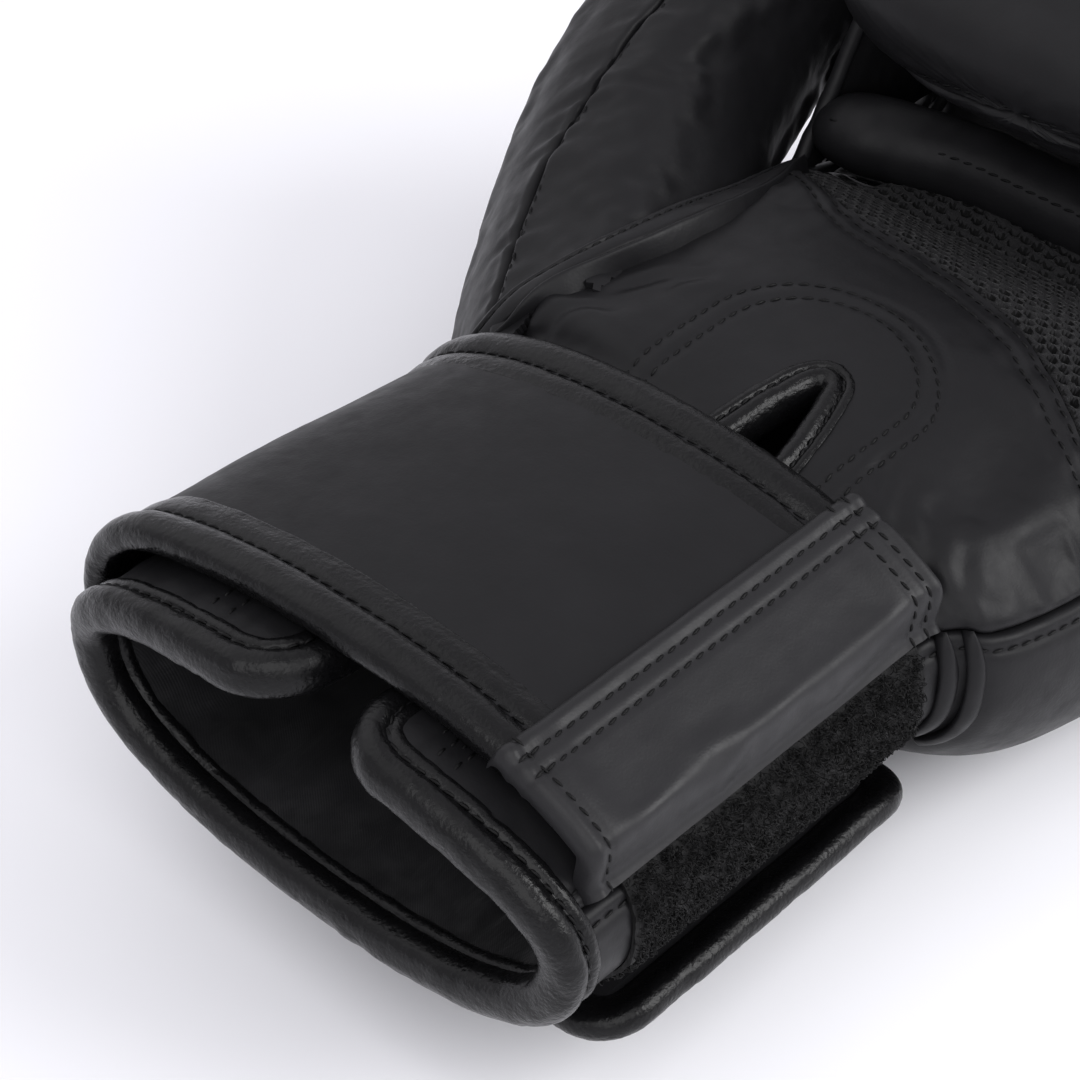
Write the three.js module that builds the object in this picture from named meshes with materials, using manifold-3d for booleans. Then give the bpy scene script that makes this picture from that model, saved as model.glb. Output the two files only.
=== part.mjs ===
// Boxing glove for the left hand, lying palm up. Millimetres: +Y runs from the wrist opening to the knuckles, +X points to
// the little-finger side and +Z is up. The origin is on the resting surface, under the middle of the whole glove.
//
// Every cover, foam and lining is a layer of one of two lofted forms: the body, which runs from the wrist rim through the
// palm and curls over into the fingers, and the thumb. A layer lies between two depths below the form's surface.

import * as THREE from "three";
import { mergeVertices } from "three/addons/utils/BufferGeometryUtils.js";
import Module from "manifold-3d";

const wasm = await Module();
wasm.setup();

// ---------------------------------------------------------------- driving dimensions

const LEATHER = 1.5; // cover thickness
const LINING = 1; // lining thickness
const GAP = 0.4; // clearance between pieces that touch
const BINDING_R = 3.6; // rolled binding on the wrist rim and the palm slit
const RIM_BINDING_Y = 0; // centre of the rim binding; the covers start one radius and a gap further in
const RIM_LEAD = 4; // how much further out the rim stands on the palm side
const CUFF_END_Y = 98;

const SLIT_X = 4.4; // middle of the palm slit at the rim
const SLIT_LEAN = 0.045; // towards the little finger, for each millimetre up the palm
const SLIT_HALF = 8; // from its middle to the centre of its binding
const SLIT_END_Y = 123; // where its round end starts
const SLIT_CORNER_R = 12; // rounding of the two cuff flaps at the rim
const PALM_LAYERS = { reinforcement: 1.9, foam: 3.1 }; // depths of their outer faces

const STRAP_THICK = 3.6;
const STRAP_BINDING_R = 3.2;
const STRAP_Y = [10.5, 94.5]; // centres of the strap's two edge bindings
const STRAP_LIFT = 2; // strap's inner face above the cuff on the palm side
const STRAP_HINGES = [61, 135, 225, 290]; // degrees round the cuff where the strap bends
const STRAP_END = 318;

const GRIP_BAR = { x: -1, y: 219, z: 71, radius: 9, length: 114 };
const FINGER_DOME = 14; // rounded end of the finger section
const THUMB_DOME = 20; // rounded thumb tip
const WELT_R = 2.6;
const THUMB_PIVOT = new THREE.Vector3(-40, 114, 0);
const THUMB_RANGE = [-2, 8]; // degrees about +Z, positive away from the fist

const RING_STEP = 10; // degrees round the body between grid lines; every body layer keeps to the same lines
const FLATNESS = 2.3; // superellipse exponent of the body's sections

const ROWS_Y = [
  // Body sections from the wrist rim to the fingertips: middle y and z, tilt in degrees, sideways shift x, half width,
  // depth towards the palm, depth towards the back.
  [4, 53, 0, 0, 61, 25, 28],
  [36, 52.5, 0, 0, 60.5, 25.5, 27.5],
  [67, 52, 0, 0, 60, 26, 27],
  [98, 51, 0, 0, 60, 27, 27],
  [108, 48.5, 0, 3, 64.5, 31, 35],
  [124, 45, 0, 5, 66.5, 36, 42],
  [148, 42, 0, 6, 68, 40, 45],
  [174, 40, 0, 6.5, 70.5, 38.5, 44.5],
  [196, 38.2, 0, 5.5, 74.3, 30, 43.2],
  [214, 37.8, 3, 5, 75.8, 25, 42.5],
  [232, 39.5, 14, 5.5, 75.5, 22, 41.5],
  [250, 45, 36, 6.5, 74.5, 21, 40],
  [265, 60, 66, 6.5, 73.5, 20, 39],
  [268, 82, 97, 6, 71, 19, 36],
  [259, 101, 130, 4.5, 67.5, 18, 31],
  [240, 112, 163, 3.5, 63.5, 17, 25],
  [219, 113, 186, 3, 59, 16, 20],
  [204, 110, 198, 2.5, 53.5, 14, 15],
];
const BODY = ROWS_Y.map(([y, z, tilt, x, half, palm, back]) => ({ y, z, tilt, x, half, palm, back }));

// Wall between the body's surface and the hand compartment at the same sections: at the sides, palm and back.
const WALL = [
  [7, 7, 7],
  [7, 7, 7],
  [7, 7, 7],
  [7, 7, 7],
  [9, 7.5, 14],
  [13, 8, 26],
  [16, 9, 33],
  [18, 9, 35],
  [20, 8.5, 34],
  [20, 8, 33.5],
  [20, 8, 33],
  [20, 7.5, 32],
  [19, 7.5, 31],
  [18, 7.5, 28],
  [18, 7, 23],
  [18, 7, 17],
  [18, 7, 13],
  [18, 7, 13],
].map(([side, palm, back]) => ({ side, palm, back }));

// Thumb sections from the hand outwards: middle x, y and z, and radius.
const THUMB = [
  [-26, 98, 50, 29],
  [-42, 118, 50, 29],
  [-58, 138, 53, 28.5],
  [-73, 163, 60, 28],
  [-85, 188, 69, 27],
  [-91, 215, 79, 26],
  [-91, 240, 88, 24],
].map(([x, y, z, radius]) => ({ x, y, z, radius }));
const THUMB_WALL = 12;

// Body sections where panels meet.
const AT = { cuffEnd: 3, meshStart: 7, meshEnd: 9, knuckles: 11, fingerEnd: 16, lastRow: 17, pole: 18 };
const FOLD = 13; // where the fingers' inner foam is jointed, at the tightest bend
const SEAM = { little: 20, thumb: 140, cuffThumb: 160 }; // degrees round the body
const THUMB_SEAM = { upper: 112.5, lower: 292.5 };

// ---------------------------------------------------------------- small mathematics

const radians = (degrees) => THREE.MathUtils.degToRad(degrees);
const smooth = (from, to, value) => THREE.MathUtils.smoothstep(value, from, to);

// Uniform Catmull-Rom interpolation of rows of named numbers.
function along(rows, v) {
  const last = rows.length - 1;
  const i = Math.min(Math.max(Math.floor(v), 0), last - 1);
  const t = Math.min(Math.max(v, 0), last) - i;
  const row = (k) => rows[Math.min(Math.max(k, 0), last)];
  const weights = [
    -0.5 * t + t * t - 0.5 * t ** 3,
    1 - 2.5 * t * t + 1.5 * t ** 3,
    0.5 * t + 2 * t * t - 1.5 * t ** 3,
    -0.5 * t * t + 0.5 * t ** 3,
  ];
  const mixed = {};
  for (const key of Object.keys(rows[0])) {
    mixed[key] = weights.reduce((sum, weight, k) => sum + weight * row(i - 1 + k)[key], 0);
  }
  return mixed;
}

// Rounds a circle's sine or cosine out towards a rectangle's.
const squarer = (value) => Math.sign(value) * Math.abs(value) ** (2 / FLATNESS);

// The values from first to last, with every multiple of step between them.
function span(first, last, step) {
  const values = [first];
  for (let k = Math.floor(first / step) + 1; k * step < last - 1e-6; k++) {
    if (k * step > first + 1e-6) values.push(k * step);
  }
  return [...values, last];
}

// Grid lines along the body: one at each section, and finer over the rounded fingertips.
function bodyLines(from, to) {
  const lines = span(from, Math.min(to, AT.lastRow), 1);
  return to > AT.lastRow ? [...lines, 17.4, 17.75, AT.pole] : lines;
}

// ---------------------------------------------------------------- the two forms

// How far the seams round the palm's air mesh drift back from their sections: the lower one towards the little finger,
// the upper one towards the thumb.
function seamDrift(u, v) {
  const turned = ((u + 180) % 360) - 180;
  const hump = (middle, reach) => 1 - smooth(0, reach, Math.abs(v - middle));
  const lower = smooth(-20, 25, turned) * (1 - smooth(30, 105, turned)) * hump(AT.meshStart, 2);
  const upper = smooth(90, 140, turned) * (1 - smooth(145, 179, turned)) * hump(AT.meshEnd, 1.8);
  const fork = smooth(105, 138, turned) * (1 - smooth(145, 179, turned)) * hump(AT.meshStart, 1.8);
  return 1.1 * lower + 0.5 * upper - 0.6 * fork;
}

// Fullness of the palm at the root of the thumb: millimetres added to its height.
function thenar(u, v) {
  const late = smooth(7.5, 9.5, v);
  const round = 1 - smooth(0, 50 - 15 * late, Math.abs(u - 140 - 15 * late));
  return 8 * round * smooth(3, 4.2, v) * (1 - smooth(8.4, 12, v));
}

// A point of the body: u degrees round it (0 little-finger side, 90 palm, 180 thumb side, 270 back), v its section, and
// wall how far below the surface it lies at the side, palm and back. The resting surface flattens the back at z = 0.
function bodyPoint(u, v, wall) {
  const s = along(BODY, v - seamDrift(u, v));
  const turn = Math.max(0, v - AT.lastRow) * (Math.PI / 2);
  const forward = (FINGER_DOME - wall.palm) * Math.sin(turn);
  const across = (s.half - wall.side) * squarer(Math.cos(radians(u))) * Math.cos(turn);
  const raised = Math.sin(radians(u));
  const depth = raised > 0 ? s.palm - wall.palm : s.back - wall.back;
  const up = depth * squarer(raised) * Math.cos(turn) + thenar(u, v);
  const lead = RIM_LEAD * Math.max(0, raised) * (1 - smooth(0, 0.05, v));
  const tilt = radians(s.tilt);
  return new THREE.Vector3(
    s.x + across,
    s.y - lead + forward * Math.cos(tilt) - up * Math.sin(tilt),
    Math.max(wall.back, s.z + forward * Math.sin(tilt) + up * Math.cos(tilt)),
  );
}

// The body's surface at a depth below it, and the hand compartment's wall at an inset back towards the surface.
const bodyAt = (depth) => (u, v) => bodyPoint(u, v, { side: depth, palm: depth, back: depth });
const wallAt = (inset) => (u, v) => {
  const wall = along(WALL, v);
  return bodyPoint(u, v, { side: wall.side - inset, palm: wall.palm - inset, back: wall.back - inset });
};
// A surface part of the way from under the cover to the lining.
const paddingAt = (share) => (u, v) => bodyAt(LEATHER + GAP)(u, v).lerp(wallAt(LINING + GAP)(u, v), share);

// The section number at a given y, on the straight part of the body.
function sectionAtY(y) {
  let [low, high] = [0, 8];
  for (let i = 0; i < 40; i++) {
    const middle = (low + high) / 2;
    if (along(BODY, middle).y < y) low = middle;
    else high = middle;
  }
  return low;
}

// The degrees round the section at v where the palm side lies at a given x, at a depth below the surface.
function turnAtX(x, v, depth) {
  const s = along(BODY, v);
  const share = (x - s.x) / (s.half - depth);
  return THREE.MathUtils.radToDeg(Math.acos(Math.sign(share) * Math.abs(share) ** (FLATNESS / 2)));
}

// The point of the palm side over x and y, at a depth below the surface.
function palmPoint(x, y, depth) {
  const v = sectionAtY(y);
  return bodyAt(depth)(turnAtX(x, v, depth), v);
}

// A point of the thumb: u degrees round it (0 towards the fist, 90 up), v its section, depth below its surface.
function thumbPoint(u, v, depth) {
  const last = THUMB.length - 1;
  const s = along(THUMB, v);
  const [a, b] = [along(THUMB, Math.min(v, last) - 0.3), along(THUMB, Math.min(v, last) + 0.3)];
  const ahead = new THREE.Vector3(b.x - a.x, b.y - a.y, b.z - a.z).normalize();
  const aside = new THREE.Vector3(0, 0, 1).cross(ahead).negate().normalize();
  const above = new THREE.Vector3().crossVectors(aside, ahead);
  const turn = Math.max(0, v - last) * (Math.PI / 2);
  const radius = (s.radius - depth) * Math.cos(turn);
  return new THREE.Vector3(s.x, s.y, s.z)
    .addScaledVector(ahead, (THUMB_DOME - depth) * Math.sin(turn))
    .addScaledVector(aside, radius * Math.cos(radians(u)))
    .addScaledVector(above, radius * Math.sin(radians(u)));
}
const thumbAt = (depth) => (u, v) => thumbPoint(u, v, depth);
const THUMB_LINES = [0, 1, 2, 3, 4, 5, 6, 6.4, 6.75, 7];

// ---------------------------------------------------------------- solids

// A geometry from a list of triangles, each three points, with shared corners merged, collapsed faces dropped and its
// faces pointing out.
function closedGeometry(triangles) {
  const raw = new THREE.BufferGeometry().setFromPoints(triangles.flat());
  const merged = mergeVertices(raw, 1e-4);
  const corners = [];
  for (let i = 0; i < merged.index.count; i += 3) {
    const [a, b, c] = [0, 1, 2].map((k) => merged.index.getX(i + k));
    if (a !== b && b !== c && c !== a) corners.push([a, b, c]);
  }
  const at = (i) => new THREE.Vector3().fromBufferAttribute(merged.attributes.position, i);
  const volume = corners.reduce((sum, [a, b, c]) => sum + at(a).dot(at(b).cross(at(c))), 0);
  merged.setIndex(corners.flatMap(([a, b, c]) => (volume < 0 ? [a, c, b] : [a, b, c])));
  return merged;
}

const quad = (a, b, c, d) => [
  [a, b, c],
  [a, c, d],
];

// The closed solid between an outer and an inner surface, over grid lines us and vs. A full ring has no side walls.
function panel(outer, inner, us, vs) {
  const sheet = (surface) => vs.map((v) => us.map((u) => surface(u, v)));
  const [top, bottom] = [sheet(outer), sheet(inner)];
  const triangles = [];
  const ring = us[us.length - 1] - us[0] === 360;
  for (let j = 0; j + 1 < vs.length; j++) {
    for (let i = 0; i + 1 < us.length; i++) {
      triangles.push(...quad(top[j][i], top[j][i + 1], top[j + 1][i + 1], top[j + 1][i]));
      triangles.push(...quad(bottom[j][i], bottom[j + 1][i], bottom[j + 1][i + 1], bottom[j][i + 1]));
    }
    if (ring) continue;
    const end = us.length - 1;
    triangles.push(...quad(top[j][0], top[j + 1][0], bottom[j + 1][0], bottom[j][0]));
    triangles.push(...quad(top[j][end], bottom[j][end], bottom[j + 1][end], top[j + 1][end]));
  }
  const last = vs.length - 1;
  for (let i = 0; i + 1 < us.length; i++) {
    triangles.push(...quad(top[0][i], bottom[0][i], bottom[0][i + 1], top[0][i + 1]));
    triangles.push(...quad(top[last][i], top[last][i + 1], bottom[last][i + 1], bottom[last][i]));
  }
  return closedGeometry(triangles);
}

// The closed solid through a row of rings of points, joined end to end or capped.
function throughRings(rings, joined = false) {
  const triangles = [];
  const sides = rings[0].length;
  for (let j = 0; j + (joined ? 0 : 1) < rings.length; j++) {
    const [here, next] = [rings[j], rings[(j + 1) % rings.length]];
    for (let i = 0; i < sides; i++) {
      const k = (i + 1) % sides;
      triangles.push(...quad(here[i], here[k], next[k], next[i]));
    }
  }
  if (!joined) {
    for (const [ring, turned] of [
      [rings[0], true],
      [rings[rings.length - 1], false],
    ]) {
      const middle = ring.reduce((sum, p) => sum.add(p), new THREE.Vector3()).divideScalar(sides);
      for (let i = 0; i < sides; i++) {
        const [a, b] = turned ? [ring[(i + 1) % sides], ring[i]] : [ring[i], ring[(i + 1) % sides]];
        triangles.push([middle, a, b]);
      }
    }
  }
  return closedGeometry(triangles);
}

// A solid filling a form's surface between the given lines.
const filled = (surface, vs, step) =>
  throughRings(vs.map((v) => span(0, 360, step).slice(0, -1).map((u) => surface(u, v))));

// A round tube through points, as a closed loop or with capped ends.
function tube(points, radius, { loop = false, steps = points.length - 1, sides = 8 } = {}) {
  const path = new THREE.CatmullRomCurve3(points, loop, "centripetal");
  const frames = path.computeFrenetFrames(steps, loop);
  const rings = [];
  for (let j = 0; j < steps + (loop ? 0 : 1); j++) {
    const middle = path.getPointAt(j / steps);
    rings.push(
      Array.from({ length: sides }, (_, i) => {
        const angle = (i / sides) * 2 * Math.PI;
        return middle
          .clone()
          .addScaledVector(frames.normals[j], radius * Math.cos(angle))
          .addScaledVector(frames.binormals[j], radius * Math.sin(angle));
      }),
    );
  }
  return throughRings(rings, loop);
}

function toManifold(geometry) {
  const plain = new THREE.BufferGeometry().setAttribute("position", geometry.attributes.position);
  const merged = mergeVertices(geometry.index ? plain.setIndex(geometry.index) : plain, 1e-4);
  return new wasm.Manifold(
    new wasm.Mesh({
      numProp: 3,
      vertProperties: merged.attributes.position.array,
      triVerts: new Uint32Array(merged.index.array),
    }),
  );
}

function fromManifold(solid) {
  const mesh = solid.getMesh();
  const positions = new Float32Array(mesh.numVert * 3);
  for (let i = 0; i < mesh.numVert; i++) {
    positions.set(mesh.vertProperties.subarray(i * mesh.numProp, i * mesh.numProp + 3), i * 3);
  }
  return new THREE.BufferGeometry()
    .setAttribute("position", new THREE.BufferAttribute(positions, 3))
    .setIndex(new THREE.BufferAttribute(mesh.triVerts, 1));
}

// The geometry with every cutter taken away, keeping its largest body: a cut can leave crumbs at a pointed edge.
function cut(geometry, ...cutters) {
  const left = cutters.reduce((solid, cutter) => solid.subtract(cutter), toManifold(geometry));
  const bodies = left.decompose().sort((a, b) => b.volume() - a.volume());
  return fromManifold(bodies[0]);
}

// ---------------------------------------------------------------- cutters

const slitMiddle = (y) => SLIT_X + SLIT_LEAN * y;

// A prism standing in the palm, from a shape drawn about the slit's middle line.
function palmPrism(shape) {
  const prism = new THREE.ExtrudeGeometry(shape, { depth: 60, bevelEnabled: false, curveSegments: 6 });
  const lean = new THREE.Matrix4().makeShear(0, 0, SLIT_LEAN, 0, 0, 0);
  return toManifold(prism.applyMatrix4(lean).translate(SLIT_X, 0, 50));
}

// A run up the slit to a round end.
function slitRun(half, startY) {
  const shape = new THREE.Shape();
  shape.moveTo(-half, startY);
  shape.lineTo(half, startY);
  shape.lineTo(half, SLIT_END_Y);
  shape.absarc(0, SLIT_END_Y, half, 0, Math.PI, false);
  return palmPrism(shape);
}

// The palm slit, wide enough for the binding on both edges, with the flaps' corners rounded at the rim.
function slitCutter() {
  const half = SLIT_HALF + BINDING_R + GAP;
  const rim = RIM_BINDING_Y - RIM_LEAD + BINDING_R + GAP;
  const corner = SLIT_CORNER_R;
  const edge = half + corner;
  const mouth = new THREE.Shape();
  mouth.moveTo(-edge, rim - 20);
  mouth.lineTo(edge, rim - 20);
  mouth.lineTo(edge, rim);
  mouth.absarc(edge, rim + corner, corner, -Math.PI / 2, -Math.PI, true);
  mouth.lineTo(-half, rim + corner);
  mouth.absarc(-edge, rim + corner, corner, 0, -Math.PI / 2, true);
  return slitRun(half, rim).add(palmPrism(mouth));
}

const slit = slitCutter();
// Passage from the hand compartment into the thumb.
const thumbPassage = toManifold(filled(thumbAt(THUMB_WALL + GAP), [0, 1, 2, 3], 22.5));

// ---------------------------------------------------------------- materials

const material = (color, roughness, metalness = 0) =>
  new THREE.MeshStandardMaterial({ color, roughness, metalness });
const MATTE_LEATHER = material(0x2b2a2e, 0.62);
const GLOSS_LEATHER = material(0x1a1a1c, 0.35);
const FOAM = material(0x3a3a3d, 0.9);
const GEL = material(0x24506e, 0.4);
const SATIN = material(0x111114, 0.55);
const AIR_MESH = material(0x1c1c1f, 0.85);
const LOOP_PILE = material(0x0c0c0d, 0.95);
const HOOK_TAPE = material(0x111112, 0.7);

const glove = new THREE.Group();

function add(name, geometry, finish, parent = glove) {
  const mesh = new THREE.Mesh(geometry, finish);
  mesh.name = name;
  parent.add(mesh);
  return mesh;
}

// Spans of grid lines, drawn back at both ends so that neighbouring panels keep a gap.
const DEGREE_GAP = 0.2;
const ROW_GAP = 0.012;
const around = (from, to) => span(from + DEGREE_GAP, to - DEGREE_GAP, RING_STEP);
const lengthwise = (from, to) =>
  bodyLines(from + (from > 0 ? ROW_GAP : 0), to === AT.pole ? to : to - ROW_GAP);
const FULL_RING = span(0, 360, RING_STEP);

const coverPanel = (us, vs) => panel(bodyAt(0), bodyAt(LEATHER), us, vs);
const foamPanel = (us, vs) => panel(paddingAt(0), paddingAt(1), us, vs);

// ---------------------------------------------------------------- cuff

function buildCuff() {
  const vs = lengthwise(0, AT.cuffEnd);
  const parts = [
    ["back", around(SEAM.cuffThumb, 360 + SEAM.little)],
    ["thumb_flap", around(90, SEAM.cuffThumb)],
    ["little_flap", around(SEAM.little, 90)],
  ];
  for (const [name, us] of parts) {
    add(`cuff_${name}_cover`, cut(coverPanel(us, vs), slit), MATTE_LEATHER);
    add(`cuff_${name}_foam`, cut(foamPanel(us, vs), slit), FOAM);
  }
  add("cuff_lining", cut(panel(wallAt(LINING), wallAt(0), FULL_RING, vs), slit), SATIN);
}

// One binding runs up one edge of the slit, round its end, down the other edge and round the whole rim.
function edgeBindingPath() {
  const depth = WALL[0].palm / 2;
  const points = [];
  const corner = SLIT_CORNER_R;
  const cornerX = SLIT_HALF + corner;
  const onPalm = (x, y) => palmPoint(slitMiddle(y) + x, Math.max(y, BODY[0].y), depth).setY(y);
  const corners = (side, turns) => {
    for (const a of turns) {
      const [c, s] = [Math.cos(radians(a)), Math.sin(radians(a))];
      points.push(onPalm(side * cornerX + corner * c, corner - RIM_LEAD + corner * s));
    }
  };
  for (let a = 0; a <= 180; a += 30) {
    points.push(onPalm(SLIT_HALF * Math.cos(radians(a)), SLIT_END_Y + SLIT_HALF * Math.sin(radians(a))));
  }
  for (let y = SLIT_END_Y - 12; y > corner + 4; y -= 16) points.push(onPalm(-SLIT_HALF, y));
  corners(-1, [0, -30, -60]);
  const start = turnAtX(SLIT_X - cornerX, 0, depth);
  const end = turnAtX(SLIT_X + cornerX, 0, depth) + 360;
  const steps = 26;
  for (let i = 0; i <= steps; i++) {
    const u = start + ((end - start) * i) / steps;
    points.push(bodyAt(depth)(u, 0).setY(RIM_BINDING_Y - RIM_LEAD * Math.max(0, Math.sin(radians(u)))));
  }
  corners(1, [-120, -150, -180]);
  for (let y = corner + 14; y < SLIT_END_Y - 4; y += 16) points.push(onPalm(SLIT_HALF, y));
  return points;
}

// ---------------------------------------------------------------- hand, fist and fingers

function buildBody() {
  const ulnar = 360 + SEAM.little;
  const palm = around(SEAM.little, SEAM.thumb);
  const back = around(SEAM.thumb, ulnar);
  const covers = {
    palm_cover: [palm, [AT.cuffEnd, AT.meshStart], MATTE_LEATHER, [slit]],
    palm_mesh_panel: [palm, [AT.meshStart, AT.meshEnd], AIR_MESH, []],
    finger_inner_cover: [palm, [AT.meshEnd, AT.pole], MATTE_LEATHER, []],
    hand_back_cover: [back, [AT.cuffEnd, AT.knuckles], MATTE_LEATHER, [thumbPassage]],
    knuckle_cover: [back, [AT.knuckles, AT.pole], MATTE_LEATHER, []],
  };
  for (const [name, [us, [from, to], finish, cutters]] of Object.entries(covers)) {
    add(name, cut(coverPanel(us, lengthwise(from, to)), ...cutters), finish);
  }

  const palmSide = around(0, 180);
  const backSide = around(180, 360);
  const outerShare = 0.62; // of the back padding's depth that the firm outer foam takes
  const innerShare = 0.64;
  const layer = (us, from, to, a, b) => panel(paddingAt(a), paddingAt(b), us, lengthwise(from, to));
  const { cuffEnd, meshEnd, knuckles, fingerEnd } = AT;
  const palmFoam = panel(bodyAt(PALM_LAYERS.foam), paddingAt(1), palmSide, lengthwise(cuffEnd, meshEnd));
  add("palm_foam", cut(palmFoam, slit, thumbPassage), FOAM);
  add("finger_inner_foam", layer(palmSide, meshEnd + ROW_GAP, FOLD, 0, 1), FOAM);
  add("finger_tip_inner_foam", layer(palmSide, FOLD, fingerEnd, 0, 1), FOAM);
  add("hand_back_foam", cut(layer(backSide, cuffEnd, knuckles, 0, outerShare), thumbPassage), FOAM);
  add("hand_back_soft_foam", cut(layer(backSide, cuffEnd, knuckles, innerShare, 1), thumbPassage), FOAM);
  add("knuckle_foam", layer(backSide, knuckles, fingerEnd, 0, outerShare), FOAM);
  add("knuckle_gel_pad", layer(backSide, knuckles, fingerEnd, innerShare, 1), GEL);
  add("fingertip_foam", filled(bodyAt(LEATHER + GAP), lengthwise(fingerEnd, AT.pole), RING_STEP), FOAM);

  const sleeve = filled(wallAt(LINING), lengthwise(cuffEnd, fingerEnd), RING_STEP);
  const inside = filled(wallAt(0), [cuffEnd - 0.2, ...span(cuffEnd, fingerEnd - 0.1, 1)], RING_STEP);
  add("hand_lining", cut(sleeve, toManifold(inside), slit, thumbPassage), SATIN);
}

// A layer of leather under the palm cover, in a band that follows the slit's round end.
function palmReinforcement() {
  const layer = panel(
    bodyAt(PALM_LAYERS.reinforcement),
    bodyAt(PALM_LAYERS.foam - GAP),
    around(SEAM.little, SEAM.thumb),
    lengthwise(AT.cuffEnd, AT.meshStart),
  );
  const inner = SLIT_HALF + BINDING_R + 1;
  const band = slitRun(inner + 18, 40).subtract(slitRun(inner, 40));
  return fromManifold(toManifold(layer).intersect(band));
}

function buildGripBar() {
  const { x, y, z, radius, length } = GRIP_BAR;
  const core = radius - LEATHER - GAP;
  const half = length / 2;
  const place = (geometry) => geometry.rotateZ(-Math.PI / 2).translate(x, y, z);
  const lathe = (outline) => {
    const made = new THREE.LatheGeometry(outline.map(([r, h]) => new THREE.Vector2(r, h)), 16);
    return fromManifold(toManifold(place(made)));
  };
  add("grip_bar_core", lathe([[0, -half], [core, -half], [core, half], [0, half]]), FOAM);
  const cover = [[core + GAP, -half], [radius, -half], [radius, half], [core + GAP, half], [core + GAP, -half]];
  add("grip_bar_cover", lathe(cover), MATTE_LEATHER);
}

// ---------------------------------------------------------------- thumb

// Welt over the seam between palm and thumb.
function weltGeometry(margin = 0) {
  const radius = WELT_R + margin;
  const points = span(112, 178, 11).map((y) => {
    const v = sectionAtY(y);
    return bodyAt(-WELT_R - GAP)(SEAM.thumb - 4 + (y - 106) * 0.06, v);
  });
  return tube(points, radius, { steps: 10 });
}

// Everything fixed that the thumb has to stay clear of, as it turns about its pivot.
function thumbKeepOut() {
  const hand = toManifold(filled(bodyAt(-0.6), bodyLines(AT.cuffEnd, AT.pole), RING_STEP));
  const cuffZone = new THREE.BoxGeometry(260, 120, 200).translate(0, CUFF_END_Y + 2.4 - 60, 60);
  const { x, y, z, radius, length } = GRIP_BAR;
  const bar = new THREE.CylinderGeometry(radius + GAP, radius + GAP, length + 2 * GAP, 16);
  bar.rotateZ(Math.PI / 2).translate(x, y, z);
  const fixed = [cuffZone, weltGeometry(GAP), bar].reduce((sum, piece) => sum.add(toManifold(piece)), hand);
  const turned = [];
  for (let angle = THUMB_RANGE[0]; angle <= THUMB_RANGE[1]; angle += 1) {
    const pivot = THUMB_PIVOT.toArray();
    const back = THUMB_PIVOT.clone().negate().toArray();
    turned.push(fixed.translate(back).rotate(0, 0, -angle).translate(pivot));
  }
  return turned.reduce((sum, solid) => sum.add(solid));
}

function buildThumb() {
  const keepOut = thumbKeepOut();
  const step = 22.5;
  const cover = (from, to) =>
    cut(panel(thumbAt(0), thumbAt(LEATHER), span(from + 0.4, to - 0.4, step), THUMB_LINES), keepOut);
  add("thumb_outer_cover", cover(THUMB_SEAM.upper, THUMB_SEAM.lower), MATTE_LEATHER);
  add("thumb_inner_cover", cover(THUMB_SEAM.lower - 360, THUMB_SEAM.upper), MATTE_LEATHER);
  const cup = (outerDepth, innerDepth) =>
    cut(
      filled(thumbAt(outerDepth), THUMB_LINES, step),
      toManifold(filled(thumbAt(innerDepth), THUMB_LINES, step)),
      keepOut,
    );
  add("thumb_foam", cup(LEATHER + GAP, THUMB_WALL - LINING - GAP), FOAM);
  add("thumb_lining", cup(THUMB_WALL - LINING, THUMB_WALL), SATIN);
}

// Short strap that ties the thumb's tip to the fist.
function tetherGeometry() {
  const from = new THREE.Vector3(-84, 244, 86);
  const to = new THREE.Vector3(-48, 266, 88);
  const [width, thick] = [22, 2.4];
  const ahead = to.clone().sub(from).normalize();
  const aside = new THREE.Vector3(0, 0, 1).cross(ahead).normalize();
  const rings = [0, 0.25, 0.5, 0.75, 1].map((share) => {
    const middle = from.clone().lerp(to, share);
    return [[-1, -1], [1, -1], [1, 1], [-1, 1]].map(([a, b]) =>
      middle.clone().addScaledVector(aside, (a * thick) / 2).add(new THREE.Vector3(0, 0, (b * width) / 2)),
    );
  });
  const fist = toManifold(filled(bodyAt(-GAP), bodyLines(AT.cuffEnd, AT.pole), RING_STEP));
  const thumb = toManifold(filled(thumbAt(-GAP), THUMB_LINES, 22.5));
  return cut(throughRings(rings), fist, thumb);
}

// ---------------------------------------------------------------- strap

const strapSection = (y) => sectionAtY(y);

// Height of the strap's inner face above the cuff: it clears the hook and loop tapes at the back, and its end stands off.
const strapLift = (u) => STRAP_LIFT + 2.6 * smooth(180, 250, u) + 6 * smooth(296, STRAP_END, u);

// A point of the strap at a height above its inner face.
const strapAt = (height) => (u, v) => bodyAt(-strapLift(u) - height)(u, v);
const strapEdge = (u, y) => strapAt(STRAP_THICK / 2)(u, strapSection(y));

const strapSpan = (from, to) => span(from + 0.5, to - 0.5, RING_STEP);

function strapWeb(from, to) {
  const clear = STRAP_BINDING_R + GAP;
  const vs = [strapSection(STRAP_Y[0] + clear), 1, 2, strapSection(STRAP_Y[1] - clear)];
  return panel(strapAt(STRAP_THICK), strapAt(0), strapSpan(from, to), vs);
}

const strapBinding = (from, to, y) =>
  tube(strapSpan(from, to).map((u) => strapEdge(u, y)), STRAP_BINDING_R);

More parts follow.
